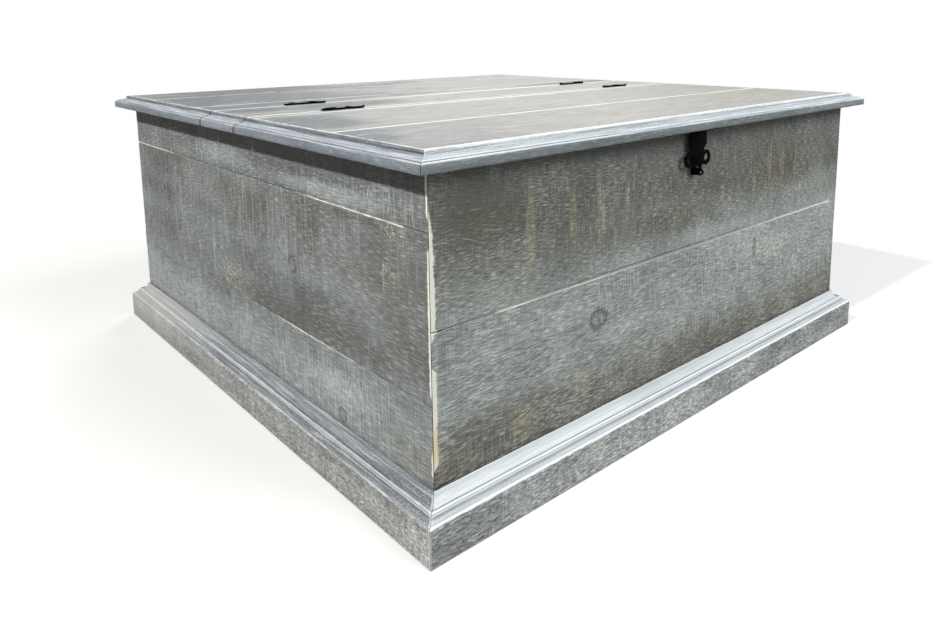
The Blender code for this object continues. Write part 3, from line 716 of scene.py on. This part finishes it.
# %% Finish of the front and back
FRONT_LOOK = {
    "washes": (shown(120, 123, 118), shown(144, 148, 142)), "sizes": (0.0012, 0.0014),
    "weave": (0.92, 0.42), "stroke": (shown(204, 197, 172), 0.50), "stain": 0.42,
    # Shades: the lower board paler; the upper board darker towards the lid, partly its own tone and partly
    # painted shade under the overhang; a pale lift just below 0.40; a painted shadow right under the lid;
    # darker towards the bottom; a painted contact shade at the foot by the plinth.
    "shades": ((WASH_PALE, 0.290, 0.235, 0.45), (DARK_WASH_AND_SHADE, 0.255, 0.345, 0.74),
               (WASH_PALE, 0.370, 0.400, 0.14), (SHADOW_BROWN, 0.410, 0.428, 0.25),
               (WASH_BROWN, 0.168, 0.085, 0.62), (DIRT_AND_SHADE, 0.078, 0.069, 0.45))}
FRONT_COLUMNS = (
    (-330, 255, 424, 10), (-256, 278, 390, 8), (-203, 275, 390, 10), (-149, 295, 380, 6),
    (84, 300, 345, 8), (176, 285, 360, 6), (225, 300, 388, 3.5), (269, 278, 392, 3.5),
    (311, 285, 388, 3.5), (-340, 75, 130, 30), (-240, 90, 140, 20))
FRONT_SCRATCHES = (
    ((-403, 350), (-369, 344)), ((-442, 349), (-409, 338)), ((-397, 315), (-376, 318)),
    ((-354, 317), (-323, 328)), ((-469, 348), (-452, 344)), ((-426, 375), (-404, 375)))
FRONT_NICKS = (
    (-231, 199, 220), (-225, 200, 217), (-177, 187, 206), (-166, 188, 205), (-150, 190, 200),
    (135, 212, 224), (147, 212, 226), (160, 206, 222), (204, 212, 228), (214, 210, 224),
    (217, 334, 385), (262, 311, 387))
NICK_HALF = 1
FRONT = {
    "knots": [(-205, 194, 16, 13), (186, 213, 5, 16)],
    "stains": [
        (-410, 375, 120, 55), (-100, 300, 130, 22), (-360, 105, 170, 42), (80, 90, 170, 30),
        (250, 328, 230, 46), (-455, 85, 60, 34)],
    "blooms": [(-260, 213, 90, 22), (100, 262, 150, 20), (-200, 168, 120, 18), (250, 215, 200, 30)],
    "columns": [upright(*column) for column in FRONT_COLUMNS],
    "strokes": [scratch(*ends) for ends in FRONT_SCRATCHES]
               + [upright(*nick, NICK_HALF) for nick in FRONT_NICKS],
    "specks": [(260, 205, 120, 30)],
    "frost": [(240, 222, 140, 26)],
    "splinters": [(-340, 165, 160, 50), (-250, 105, 220, 30), (-50, 150, 120, 40)],
    "honey": [(-479, 116, 30, 30)],
    "joints": [(20, 250, 470, 20)],
    # The first crack is an open mitre at the corner; the others are painted shade lines, in the gaps along
    # the joint and between the plinth and the wall.
    "cracks_and_gap_shade": [(-478.5, 104, 0.8, 46), (-464, 70.5, 22, 1.6), (-468, 250, 12, 1), (-60, 253.2, 360, 0.7)],
    "calm": [(-410, 375, 100, 60), (-150, 420, 400, 20)],
    "unsawn": [(-300, 150, 260, 100), (-400, 290, 120, 40), (100, 85, 400, 30)],
    "quiet": [
        (-430, 250, 40, 20), (-479, 225, 30, 17), (-479, 430, 30, 110), (-479, 80, 30, 22),
        (479, 250, 30, 300)]}
BACK = {
    "knots": [(300, 310, 14, 12), (-150, 120, 10, 9)],
    "stains": [(250, 330, 200, 60), (-300, 110, 200, 50)],
    "blooms": [(-100, 260, 200, 40)],
    "columns": [upright(-210, 250, 380), upright(60, 280, 350), upright(330, 230, 370)],
    "specks": [(200, 150, 100, 30)],
    "frost": [(-200, 150, 150, 30)],
    "splinters": [(100, 150, 200, 60)],
    "joints": [(0, 205, 470, 20)],
    "quiet": [(479, 250, 30, 300), (100, 205, 300, 20)]}
front_wash = wall_finish("grey_wash_front", X, FRONT_LOOK, marks_on(on_front, FRONT, on_back, BACK))
print(f"{len(front_wash.node_tree.nodes)} nodes in the front wash")

# %% [markdown]
# The left and the right share the other finish, a little darker and bluer, with wider saw lines.

# %% Finish of the sides
SIDE_LOOK = {
    "washes": (shown(105, 108, 108), shown(126, 130, 131)), "sizes": (0.0016, 0.0024),
    "weave": (0.62, 0.42), "stroke": (shown(204, 211, 211), 0.35), "stain": 0.38,
    # Shades: a little darker above 0.23; a browner painted shadow in the band that the lid throws; paler
    # towards the bottom; a painted contact shade at the foot by the plinth.
    "shades": ((DARK_WASH_AND_SHADE, 0.230, 0.300, 0.24), (SHADOW_BROWN, 0.396, 0.403, 0.30),
               (WASH_PALE, 0.172, 0.110, 0.55), (DIRT_AND_SHADE, 0.079, 0.069, 0.35))}
LEFT_STROKES = (
    (-12, 292, 358, 1.8), (-45, 262, 362, 1.6), (256, 215, 325, 1.6), (-125, 73, 145, 2),
    (116, 172, 252, 3), (-391, 262, 318, 1.6))
LEFT = {
    "knots": [(-164, 255, 11, 11), (-286, 82, 9, 10)],
    "stains": [
        (-198, 333, 55, 45), (-300, 190, 150, 22), (-60, 180, 200, 22), (-420, 270, 70, 100),
        (-430, 95, 100, 38), (-360, 283, 130, 34), (20, 320, 140, 30), (300, 351, 150, 8),
        (-330, 351, 110, 8)],
    "blooms": [(-260, 118, 85, 24), (80, 385, 120, 20), (-260, 372, 140, 12)],
    "strokes": [upright(*stroke) for stroke in LEFT_STROKES],
    "specks": [
        (55, 195, 95, 36), (114, 222, 8, 40), (180, 215, 30, 20), (-415, 348, 40, 14),
        (-400, 300, 30, 12)],
    "frost": [(-360, 378, 130, 22), (-240, 118, 260, 36)],
    "splinters": [(-280, 125, 110, 26), (100, 372, 200, 16)],
    "honey": [(-479, 116, 30, 20)],
    "joints": [(-280, 165, 190, 20)],
    "cracks_and_gap_shade": [(-478.8, 100, 0.6, 40)],
    "calm": [(0, 414, 600, 18)],
    "unsawn": [(-360, 240, 160, 80), (50, 190, 300, 30)],
    "quiet": [
        (45, 359, 215, 20), (130, 165, 330, 20), (-420, 165, 90, 20), (-479, 140, 30, 34),
        (-479, 72, 30, 14), (420, 165, 160, 20), (-475, 359, 50, 20)]}
RIGHT = {
    "knots": [(120, 300, 13, 11), (-260, 150, 10, 9)],
    "stains": [(100, 200, 200, 80), (-300, 360, 120, 40)],
    "blooms": [(250, 120, 150, 40)],
    "columns": [upright(300, 240, 380), upright(-150, 260, 360)],
    "specks": [(-200, 300, 80, 40)],
    "frost": [(200, 130, 200, 40)],
    "splinters": [(0, 300, 200, 40)],
    "joints": [(0, 232, 470, 20)],
    "calm": [(0, 414, 600, 18)],
    "unsawn": [(100, 100, 300, 40)],
    "quiet": [(100, 232, 300, 20)]}
side_wash = wall_finish("grey_wash_side", Y, SIDE_LOOK, marks_on(on_left, LEFT, on_right, RIGHT))
print(f"{len(side_wash.node_tree.nodes)} nodes in the side wash")

# %% [markdown]
# The walls: nine boards, edge to edge, mitred at the corners. Each wall has a finish, the wear of
# its boards' ends and long edges, and the direction that faces into the trunk.

# %% Wall boards
WALL_CHIPS, WALL_WAVE = 0.00012, 0.0003
FRONT_WEAR = (0.0115, 2.1), (ARRIS_STRIP, 1.3)
SIDE_WEAR = (0.0070, 1.6), (ARRIS_STRIP, 1.0)
WALLS = {"front": (front_wash, FRONT_WEAR, (0, 1, 0)), "back": (front_wash, FRONT_WEAR, (0, -1, 0)),
         "left": (side_wash, SIDE_WEAR, (1, 0, 0)), "right": (side_wash, SIDE_WEAR, (-1, 0, 0))}
for side, (finish, wear, inside) in WALLS.items():
    for node in [name for name in NODES if name.startswith(f"{side}_board_")]:
        timber_board(node, finish, Z, WALL_CHIPS, WALL_WAVE, Vector(inside), *wear)

# %% [markdown]
# The top: planed boards with a paler, warmer wash that hands have rubbed smooth. Places on the
# left and at the back stayed bluer and darker. The joints show as white lines, because both
# arrises of each joint are rubbed through, and two of those lines are rubbed wider by a mark.

# %% Wash on the top
TOP_GREY = shown(120, 123, 124)
TOP_BEIGE = shown(154, 153, 148)
TOP_PALE = shown(162, 161, 157)
TOP_STREAK = shown(106, 107, 107)
TOP_BLUE = shown(92, 99, 104)
RUBBED_WHITE = shown(222, 221, 216)
TOP_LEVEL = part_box("centre_strip")[1][Z]
NARROW_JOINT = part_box("front_lid_board_inner")[0][Y]
on_top = face_at(Z, TOP_LEVEL)
TOP_BLUES = [on_top(*metres(mark)) for mark in (
    (-450, -200, 100, 100), (-440, 20, 120, 50), (-300, 200, 360, 180), (-200, 380, 420, 140),
    (-300, 0, 160, 60), (-480, -360, 60, 80), (-440, 300, 120, 220), (350, 100, 200, 40))]
TOP_LINES = [on_top(0.14, 0.0670, 0.42, 0.0100), on_top(0.0, NARROW_JOINT, 0.60, 0.0085)]


def top_finish(name):
    material, shader = start_finish(name)
    place, own = grain_place()
    cloud = grade(cloudy(own, scale=5.5, detail=3.0, roughness=0.6), low=0.32, high=0.68)
    band = grade(streaky(own, X, squeeze=0.06, scale=30.0, detail=3.0), low=0.30, high=0.70)
    across = add("SeparateXYZ", {0: place}).outputs[X]
    warm = grade(total((across, 1.0), (cloud, 0.25)), low=-0.45, high=0.15)
    colour = blend(warm, TOP_GREY, TOP_BEIGE)
    colour = lay(colour, TOP_PALE, band, strength=0.35)
    colour = lay(colour, TOP_BLUE, soft_marks(place, TOP_BLUES, cloud), strength=0.8)
    raw, fibre = bare_pine_colour(own, X, Y)
    colour = lay(colour, TOP_STREAK, grade(fibre, low=0.52, high=0.74), strength=0.40)
    fleck = streaky(own, X, squeeze=0.12, scale=210.0, detail=3.0, roughness=0.7)
    colour = lay(colour, TOP_STREAK, grade(fleck, low=0.46, high=0.30), strength=0.45)
    colour = lay(colour, RUBBED_WHITE, grade(fleck, low=0.55, high=0.72), strength=0.35)
    colour = lay(colour, RUBBED_WHITE, soft_marks(place, TOP_LINES, fleck), strength=0.85)
    bare = attribute("bare")
    colour = blend(bare, colour, raw)
    rubbed = rubbed_field(own, extra=0.0, low=0.30, high=0.62)
    colour = lay(colour, RUBBED_WHITE, unless(rubbed, bare))
    skin(shader, colour, fibre, share=0.3, roughness=0.50, specular=0.10)
    raise_grain(shader, total((fibre, 1.0), (fleck, 0.3)), strength=0.35, depth=0.0005)
    return material


top_wash = top_finish("grey_wash_top")
TOP_CHIPS, TOP_WAVE = 0.0008, 0.0002
TOP_END, TOP_EDGE = (ARRIS_STRIP, 0.6), (ARRIS_STRIP, 1.0)
TOP_EDGES = {"front_lid_board_outer": (0.0060, 1.5)}
DOWN = Vector((0, 0, -1))
for node in [name for name in NODES if "_lid_board_" in name or name == "centre_strip"]:
    edge = TOP_EDGES.get(node, TOP_EDGE)
    timber_board(node, top_wash, Y, TOP_CHIPS, TOP_WAVE, DOWN, TOP_END, edge)

# %% [markdown]
# The mouldings: planed lengths with a nose, a bead and coves. Their wash is bluer and smoother,
# streaked along the run and rubbed white on every round, with a painted highlight along the bead,
# painted shade in every quirk, and dirt and painted shade in the hollows. Where a round or a quirk
# lies is told by the inset, the distance in from the outer face. Below the moulded part lies a
# plain face, greyer and rougher. Two cuts near its edges keep the rubbed arris narrow. Lids and
# plinth have different washes. Lengths that run across and lengths that run back differ too,
# partly in wash and partly as painted light: the lengths across are painted paler, a painted sheen.

# %% Wash on the mouldings
MOULDING_WHITE = shown(222, 227, 230)
# The lengths across are paler than those that run back, partly their own wash and partly a painted sheen.
# The quirk and dark zones are painted shade.
MOULDING_PAINTS = {
    ("lid", X): {
        "rounds": (shown(176, 187, 193), shown(212, 219, 223)), "hollow": shown(172, 182, 188),
        "streak": shown(124, 132, 137), "face": (shown(108, 115, 117), shown(134, 141, 143)),
        "arris": 0.66, "bead": 0.30, "quirk": 0.60, "dark": (), "weave": (0.30, 0.0), "dash": 0.11},
    ("lid", Y): {
        "rounds": (shown(136, 144, 152), shown(168, 176, 184)), "hollow": shown(166, 174, 182),
        "streak": shown(92, 98, 106), "face": (shown(112, 119, 126), shown(144, 151, 159)),
        "arris": 0.24, "bead": 0.30, "quirk": 0.40, "dark": (((0.0166, 0.0198), 0.75),),
        "weave": (0.30, 0.0), "dash": 0.11},
    ("plinth", X): {
        "rounds": (shown(226, 233, 237), shown(244, 248, 250)), "hollow": shown(150, 159, 162),
        "streak": shown(198, 206, 211), "face": (shown(134, 138, 136), shown(172, 176, 174)),
        "arris": 0.75, "bead": 0.60, "quirk": 0.95, "dark": (((0.0084, 0.0098), 0.45),),
        "weave": (0.95, 0.25), "dash": 0.16},
    ("plinth", Y): {
        "rounds": (shown(130, 136, 143), shown(168, 174, 180)), "hollow": shown(126, 130, 132),
        "streak": shown(100, 105, 111), "face": (shown(144, 146, 143), shown(178, 180, 177)),
        "arris": 0.75, "bead": 0.65, "quirk": 0.75, "dark": (), "weave": (0.85, 0.40), "dash": 0.22}}
LID_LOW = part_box("strip_moulding_left")[0][Z]
PLINTH_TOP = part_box("plinth_front")[1][Z]
MOULDINGS = {
    "lid": {"outer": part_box("strip_moulding_right")[1][X], "face_top": LID_LOW + 0.0116,
            "quiet": (LID_LOW + 0.0028, LID_LOW + 0.0016), "hollow": (0.0070, 0.0165),
            "bead": (0.0044, 0.0056), "quirk": (0.0060, 0.0074), "nose": (0.0046, 0.0032)},
    "plinth": {"outer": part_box("plinth_right")[1][X], "face_top": 0.0474,
               "quiet": (PLINTH_TOP - 0.0040, PLINTH_TOP - 0.0025), "hollow": (0.0030, 0.0106),
               "bead": (0.0104, 0.0122), "quirk": (0.0128, 0.0158), "nose": (-0.002, -0.003)}}
ZONE_EDGE = 0.0005
FACE_BELOW, FACE_ABOVE = 0.0012, 0.0006
WEAVE_SIZES = 0.0013, 0.0017
QUIET_MOULDING, QUIRK_SHADE = -0.8, 0.35


def zone(inset, low, high):
    """1 between two distances from the outer face, with a short soft edge."""
    after = grade(inset, low - ZONE_EDGE, low + ZONE_EDGE)
    return both(after, grade(inset, high + ZONE_EDGE, high - ZONE_EDGE))


def moulding_finish(name, run, sizes, paints, extra):
    material, shader = start_finish(name)
    place, own = grain_place()
    sides = add("SeparateXYZ", {0: place}).outputs
    height, across = sides[Z], calc("ABSOLUTE", sides[Y if run == X else X])
    inset = calc("SUBTRACT", sizes["outer"], across)
    moulded = grade(height, sizes["face_top"] - FACE_BELOW, sizes["face_top"] + FACE_ABOVE)
    band = grade(streaky(own, run, squeeze=0.06, scale=34.0, detail=3.0), low=0.30, high=0.70)
    fibre = streaky(own, run, squeeze=0.025, scale=420.0, roughness=0.65)
    fields = weave_fields(own, run, *WEAVE_SIZES, paints["dash"])
    dash, _, grit = fields
    rounds = blend(band, *paints["rounds"])
    rounds = lay(rounds, paints["hollow"], zone(inset, *sizes["hollow"]), strength=0.85)
    for field, paint, low, high, strength in (
            (fibre, paints["streak"], 0.48, 0.60, 0.65), (fibre, MOULDING_WHITE, 0.46, 0.36, 0.55),
            (grit, paints["streak"], 0.46, 0.34, 0.50), (grit, MOULDING_WHITE, 0.55, 0.66, 0.60)):
        rounds = lay(rounds, paint, grade(field, low, high), strength)
    # A painted highlight along the bead, broken by the grain.
    broken = both(zone(inset, *sizes["bead"]), grade(fibre, low=0.36, high=0.56))
    rounds = lay(rounds, MOULDING_WHITE, broken, paints["bead"])
    plain = blend(band, *paints["face"])
    plain = lay(plain, paints["streak"], grade(fibre, low=0.50, high=0.70), strength=0.35)
    plain = woven(plain, own, fields, *paints["weave"], darker=0.35, paler=2.2)
    colour = blend(moulded, plain, rounds)
    quiet = calc("MAXIMUM", grade(height, *sizes["quiet"]), grade(inset, *sizes["nose"]))
    rubbed = rubbed_field(own, both(quiet, QUIET_MOULDING), low=0.42, high=0.85)
    colour = lay(colour, MOULDING_WHITE, rubbed, paints["arris"])
    # Painted shade in the quirk and in the dark zones.
    for (low, high), strength in ((sizes["quirk"], paints["quirk"]), *paints["dark"]):
        shaded = both(zone(inset, low, high), moulded)
        colour = lay(colour, scaled(colour, QUIRK_SHADE), shaded, strength)
    if extra:
        paint, marks, strength = extra
        colour = lay(colour, paint, soft_marks(place, marks, grit), strength)
    # Hollows darkened as dirt and painted shade.
    colour = lay(colour, DIRT_AND_SHADE, attribute("hollow_dirt_shade"), strength=0.8)
    skin(shader, colour, fibre, share=0.3, roughness=0.45, specular=0.15)
    raise_grain(shader, total((fibre, 1.0), (dash, 0.6), (grit, 0.4)), strength=0.4, depth=0.0005)
    return material


print(f"{len(MOULDING_PAINTS)} washes for mouldings")

# %% [markdown]
# Three of these washes have marks of their own: upright scratches on the front of the plinth,
# painted shade in the gaps where the lids' side mouldings meet those of the strip, and a paler far
# end of the left plinth.

# %% Mouldings
PLINTH_SCRATCH_HALF, GAP_HALF = 1.5, 0.0040
PLINTH_SCRATCHES = [on_front(*metres(upright(*line, PLINTH_SCRATCH_HALF))) for line in (
    (-305, 1, 23), (-366, 1, 8), (-190, 4, 40), (124, 6, 46), (192, 10, 44), (248, 4, 46))]
GAP_MIDDLE = (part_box("strip_moulding_left")[1][Y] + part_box("back_lid_moulding_left")[0][Y]) / 2
# Painted shade in the gaps between the lid and strip mouldings.
LID_GAP_SHADE = [put(y, LID_LOW, GAP_HALF, MARK_DEPTH)
            for put in (on_left, on_right) for y in (-GAP_MIDDLE, GAP_MIDDLE)]
PLINTH_FROST = [on_left(0.46, 0.05, 0.42, 0.10)]
MOULDING_MARKS = {("plinth", X): (RUBBED_WHITE, PLINTH_SCRATCHES, 0.75),
                  ("lid", Y): (DIRT_AND_SHADE, LID_GAP_SHADE, 0.95),
                  ("plinth", Y): (RUBBED_WHITE, PLINTH_FROST, 0.50)}
FACE_STRIP, FACE_TOP_STRIP = 0.0028, 0.0030
MOULDING_CHIPS, MOULDING_WAVE = 0.0005, 0.00015
MOULDING_END_WEAR = {"lid": 0.9, "plinth": 1.3}
MOULDING_SMOOTH = radians(40)
finishes = {}
for kind, paints in MOULDING_PAINTS.items():
    family, run = kind
    name = f"moulding_{family}_{'across' if run == X else 'back'}"
    finishes[kind] = moulding_finish(name, run, MOULDINGS[family], paints, MOULDING_MARKS.get(kind))
for node in [name for name in NODES if "moulding" in name or name.startswith("plinth")]:
    run = X if node.endswith(("front", "back")) else Y
    family = "plinth" if node.startswith("plinth") else "lid"
    bm = welded_copy(node)
    cut_at(bm, Z, (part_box(node)[0][Z] + FACE_STRIP, MOULDINGS[family]["face_top"] - FACE_TOP_STRIP))
    cut_strips(bm, node, run)
    cut_steps(bm, run, RUN_STEP)
    weather(bm, board_shift(node), MOULDING_CHIPS, MOULDING_WAVE, run, MOULDING_END_WEAR[family])
    stand_for(bm, node, finishes[family, run], "timber", MOULDING_SMOOTH)

# %% [markdown]
# Inside: the floor panel, its cleats, the corner posts and the battens under the lids are plain
# unfinished pine. There is one finish for each way that a piece's run and width can lie.

# %% Bare pine
BARE_CHIPS, BARE_WAVE = 0.0005, 0.0002


def bare_finish(name, run, cross):
    material, shader = start_finish(name)
    own = grain_place()[1]
    colour, fibre = bare_pine_colour(own, run, cross)
    skin(shader, colour, fibre, share=0.3, roughness=0.5)
    raise_grain(shader, fibre, strength=0.4, depth=0.0005)
    return material


bare_finishes = {}
for node in [name for name in NODES if SLOT_OF[name] == "bare_pine"]:
    run, cross = axes_by_length(node)[:2]
    if (run, cross) not in bare_finishes:
        bare_finishes[run, cross] = bare_finish(f"bare_pine_{'xyz'[run]}{'xyz'[cross]}", run, cross)
    bm = welded_copy(node)
    cut_steps(bm, run, RUN_STEP)
    weather(bm, board_shift(node), BARE_CHIPS, BARE_WAVE)
    stand_for(bm, node, bare_finishes[run, cross], "timber", BOARD_SMOOTH)

# %% [markdown]
# The iron: hinges and hasps in matt black. A forged edge is never sharp, so each sharp edge is
# bevelled a little, and the skin is slightly hammered and rubbed to brown and grey on its edges.
# The tops of the hinge knuckles carry a painted highlight in patches.

# %% Black iron
IRON_BLACK = shown(3, 3, 3)
IRON_BROWN = shown(9, 8, 7)
IRON_RUBBED = shown(34, 33, 32)
IRON_HIGHLIGHT = shown(150, 155, 158)
KNUCKLE_TOP = CAD_BOX[1][Z] - 0.0026, CAD_BOX[1][Z] - 0.0010
IRON_EASE, IRON_EDGE, IRON_SMOOTH = 0.00025, radians(40), radians(35)
IRON_CHIPS, IRON_WAVE = 0.00005, 0.00004


def iron_finish(name):
    material, shader = start_finish(name)
    place = add("TexCoord", {}).outputs["Object"]
    cloud = grade(cloudy(place, scale=140.0, detail=3.0, roughness=0.6), low=0.45, high=0.75)
    pits = cloudy(place, scale=900.0, detail=3.0, roughness=0.65)
    colour = lay(IRON_BLACK, IRON_BROWN, cloud, strength=0.5)
    worn = total((attribute("rubbed"), 1.0), (pits, 1.0))
    colour = lay(colour, IRON_RUBBED, grade(worn, low=1.3, high=1.7), strength=0.35)
    height = add("SeparateXYZ", {0: place}).outputs[Z]
    # A painted highlight in patches on the tops of the hinge knuckles.
    highlight_patches = grade(streaky(place, X, squeeze=0.4, scale=110.0), low=0.42, high=0.54)
    colour = lay(colour, IRON_HIGHLIGHT, both(highlight_patches, grade(height, *KNUCKLE_TOP)), strength=0.8)
    skin(shader, colour, cloud, share=0.2, roughness=0.48, specular=0.03)
    raise_grain(shader, pits, strength=0.35, depth=0.0002)
    return material


black_iron = iron_finish("black_iron_skin")
for node in [name for name in NODES if SLOT_OF[name] == "black_iron"]:
    bm = welded_copy(node)
    sharp = [edge for edge in bm.edges if edge.calc_face_angle(0.0) > IRON_EDGE]
    bmesh.ops.bevel(bm, geom=sharp, offset=IRON_EASE, offset_type="OFFSET", segments=2, profile=0.5,
                    affect="EDGES", clamp_overlap=True, material=-1)
    weather(bm, board_shift(node), IRON_CHIPS, IRON_WAVE)
    stand_for(bm, node, black_iron, "iron", IRON_SMOOTH)

# %% [markdown]
# Screws hold the iron and the battens. A slotted head is a short cone whose top face is cut by two
# planes, and the strip between them is sunk. One head is made and copied into place, so all the
# screws of one plate are one piece. They lie almost flush, or the leaves of a butt hinge could
# not close on each other.

# %% A screw head
HEAD_RADIUS, HEAD_DEPTH, HEAD_TAPER, HEAD_SIDES = 0.0024, 0.0006, 0.9, 20
SLOT_WIDTH, SLOT_DEPTH, SLOT_SLOPE = 0.0007, 0.0003, 0.00004
SLOT_START, SLOT_TURN = 15, 37
HEAD_PROUD = 0.00012
LOOKS_UP = 0.9


def screw_head():
    """A slotted head that looks up, with the face it sits on at height 0."""
    bm = bmesh.new()
    bmesh.ops.create_cone(bm, cap_ends=True, segments=HEAD_SIDES, radius1=HEAD_RADIUS,
                          radius2=HEAD_RADIUS * HEAD_TAPER, depth=HEAD_DEPTH)
    cut_at(bm, Y, (-SLOT_WIDTH / 2, SLOT_WIDTH / 2))
    bm.normal_update()
    slot = [face for face in bm.faces
            if face.normal.z > LOOKS_UP and abs(face.calc_center_median().y) < SLOT_WIDTH / 2]
    bmesh.ops.inset_region(bm, faces=slot, thickness=SLOT_SLOPE, depth=-SLOT_DEPTH)
    bmesh.ops.translate(bm, verts=bm.verts, vec=(0, 0, HEAD_PROUD - HEAD_DEPTH / 2))
    return mesh_of(bm, "screw_head")


HEAD = screw_head()


def drive_screws(name, body, places, outward, size=1.0):
    """Screw heads at these places of one face, each slot turned its own way, as one piece."""
    bm = bmesh.new()
    facing = Vector(outward).to_track_quat("Z", "Y").to_matrix().to_4x4()
    for number, place in enumerate(places):
        kept = len(bm.verts)
        bm.from_mesh(HEAD)
        bm.verts.ensure_lookup_table()
        slot_turn = Matrix.Rotation(radians(SLOT_TURN * number + SLOT_START), 4, "Z")
        matrix = Matrix.Translation(place) @ facing @ slot_turn @ Matrix.Diagonal((size, size, 1, 1))
        bmesh.ops.transform(bm, matrix=matrix, verts=bm.verts[kept:])
    piece = make_piece(bm, name, body, "black_iron", black_iron, IRON_SMOOTH)
    print(piece.name, len(places), "screws")


print(f"{len(HEAD.polygons)} faces in a screw head")

# %% [markdown]
# The places of the screws follow from the frame's own boxes: three in each hinge leaf, five in a
# staggered line along each batten, and two in each hasp's leaf and staple.

# %% Screws
SEAT_GAP, LEAF_THICKNESS, STAPLE_BASE = 0.0003, 0.0010, 0.0015
STRIP_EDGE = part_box("centre_strip")[1][Y]
LID_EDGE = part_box("back_lid_board_inner")[0][Y]
HINGE_SCREW_PITCH, HINGE_SCREW_HEIGHT = 0.024, 0.0090
BATTEN_SCREWS, BATTEN_SCREW_MARGIN, BATTEN_STAGGER = 5, 0.030, 0.009
HASP_SCREW_PLACE, HASP_SCREW_INSET, STAPLE_SCREW_PLACE = 0.012, 0.0062, 0.0034
SMALL_HEAD = 0.5
for lid, facing in (("front", -1), ("back", 1)):
    for side in ("left", "right"):
        hinge = f"{lid}_{side}_hinge"
        low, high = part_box(f"{hinge}_fixed_leaf")
        middle = (low[X] + high[X]) / 2
        height = low[Z] + HINGE_SCREW_HEIGHT
        across = [middle + step * HINGE_SCREW_PITCH for step in (-1, 0, 1)]
        face = facing * (STRIP_EDGE + SEAT_GAP + LEAF_THICKNESS)
        drive_screws(f"{hinge}_fixed_screws", "trunk", [(x, face, height) for x in across], (0, facing, 0))
        face = facing * (LID_EDGE - SEAT_GAP - LEAF_THICKNESS)
        places = [(x, face, height) for x in across]
        drive_screws(f"{hinge}_lid_screws", f"{lid}_lid", places, (0, -facing, 0))
        low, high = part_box(f"{lid}_lid_batten_{side}")
        middle = (low[X] + high[X]) / 2
        span = high[Y] - low[Y] - 2 * BATTEN_SCREW_MARGIN
        places = [(middle + (-1) ** number * BATTEN_STAGGER,
                   low[Y] + BATTEN_SCREW_MARGIN + span * number / (BATTEN_SCREWS - 1), low[Z])
                  for number in range(BATTEN_SCREWS)]
        drive_screws(f"{lid}_lid_batten_{side}_screws", f"{lid}_lid", places, (0, 0, -1))

for lid, facing in (("front", -1), ("back", 1)):
    low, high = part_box(f"{lid}_hasp_leaf")
    outer = max(abs(low[Y]), abs(high[Y])) - HASP_SCREW_INSET
    under = high[Z] - LEAF_THICKNESS
    places = [(x, facing * outer, under) for x in (-HASP_SCREW_PLACE, HASP_SCREW_PLACE)]
    drive_screws(f"{lid}_hasp_leaf_screws", f"{lid}_lid", places, (0, 0, -1))
    low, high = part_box(f"{lid}_hasp_staple")
    face = facing * (min(abs(low[Y]), abs(high[Y])) + STAPLE_BASE)
    middle = (low[Z] + high[Z]) / 2
    places = [(x, face, middle) for x in (-STAPLE_SCREW_PLACE, STAPLE_SCREW_PLACE)]
    drive_screws(f"{lid}_hasp_staple_screws", "trunk", places, (0, facing, 0), SMALL_HEAD)
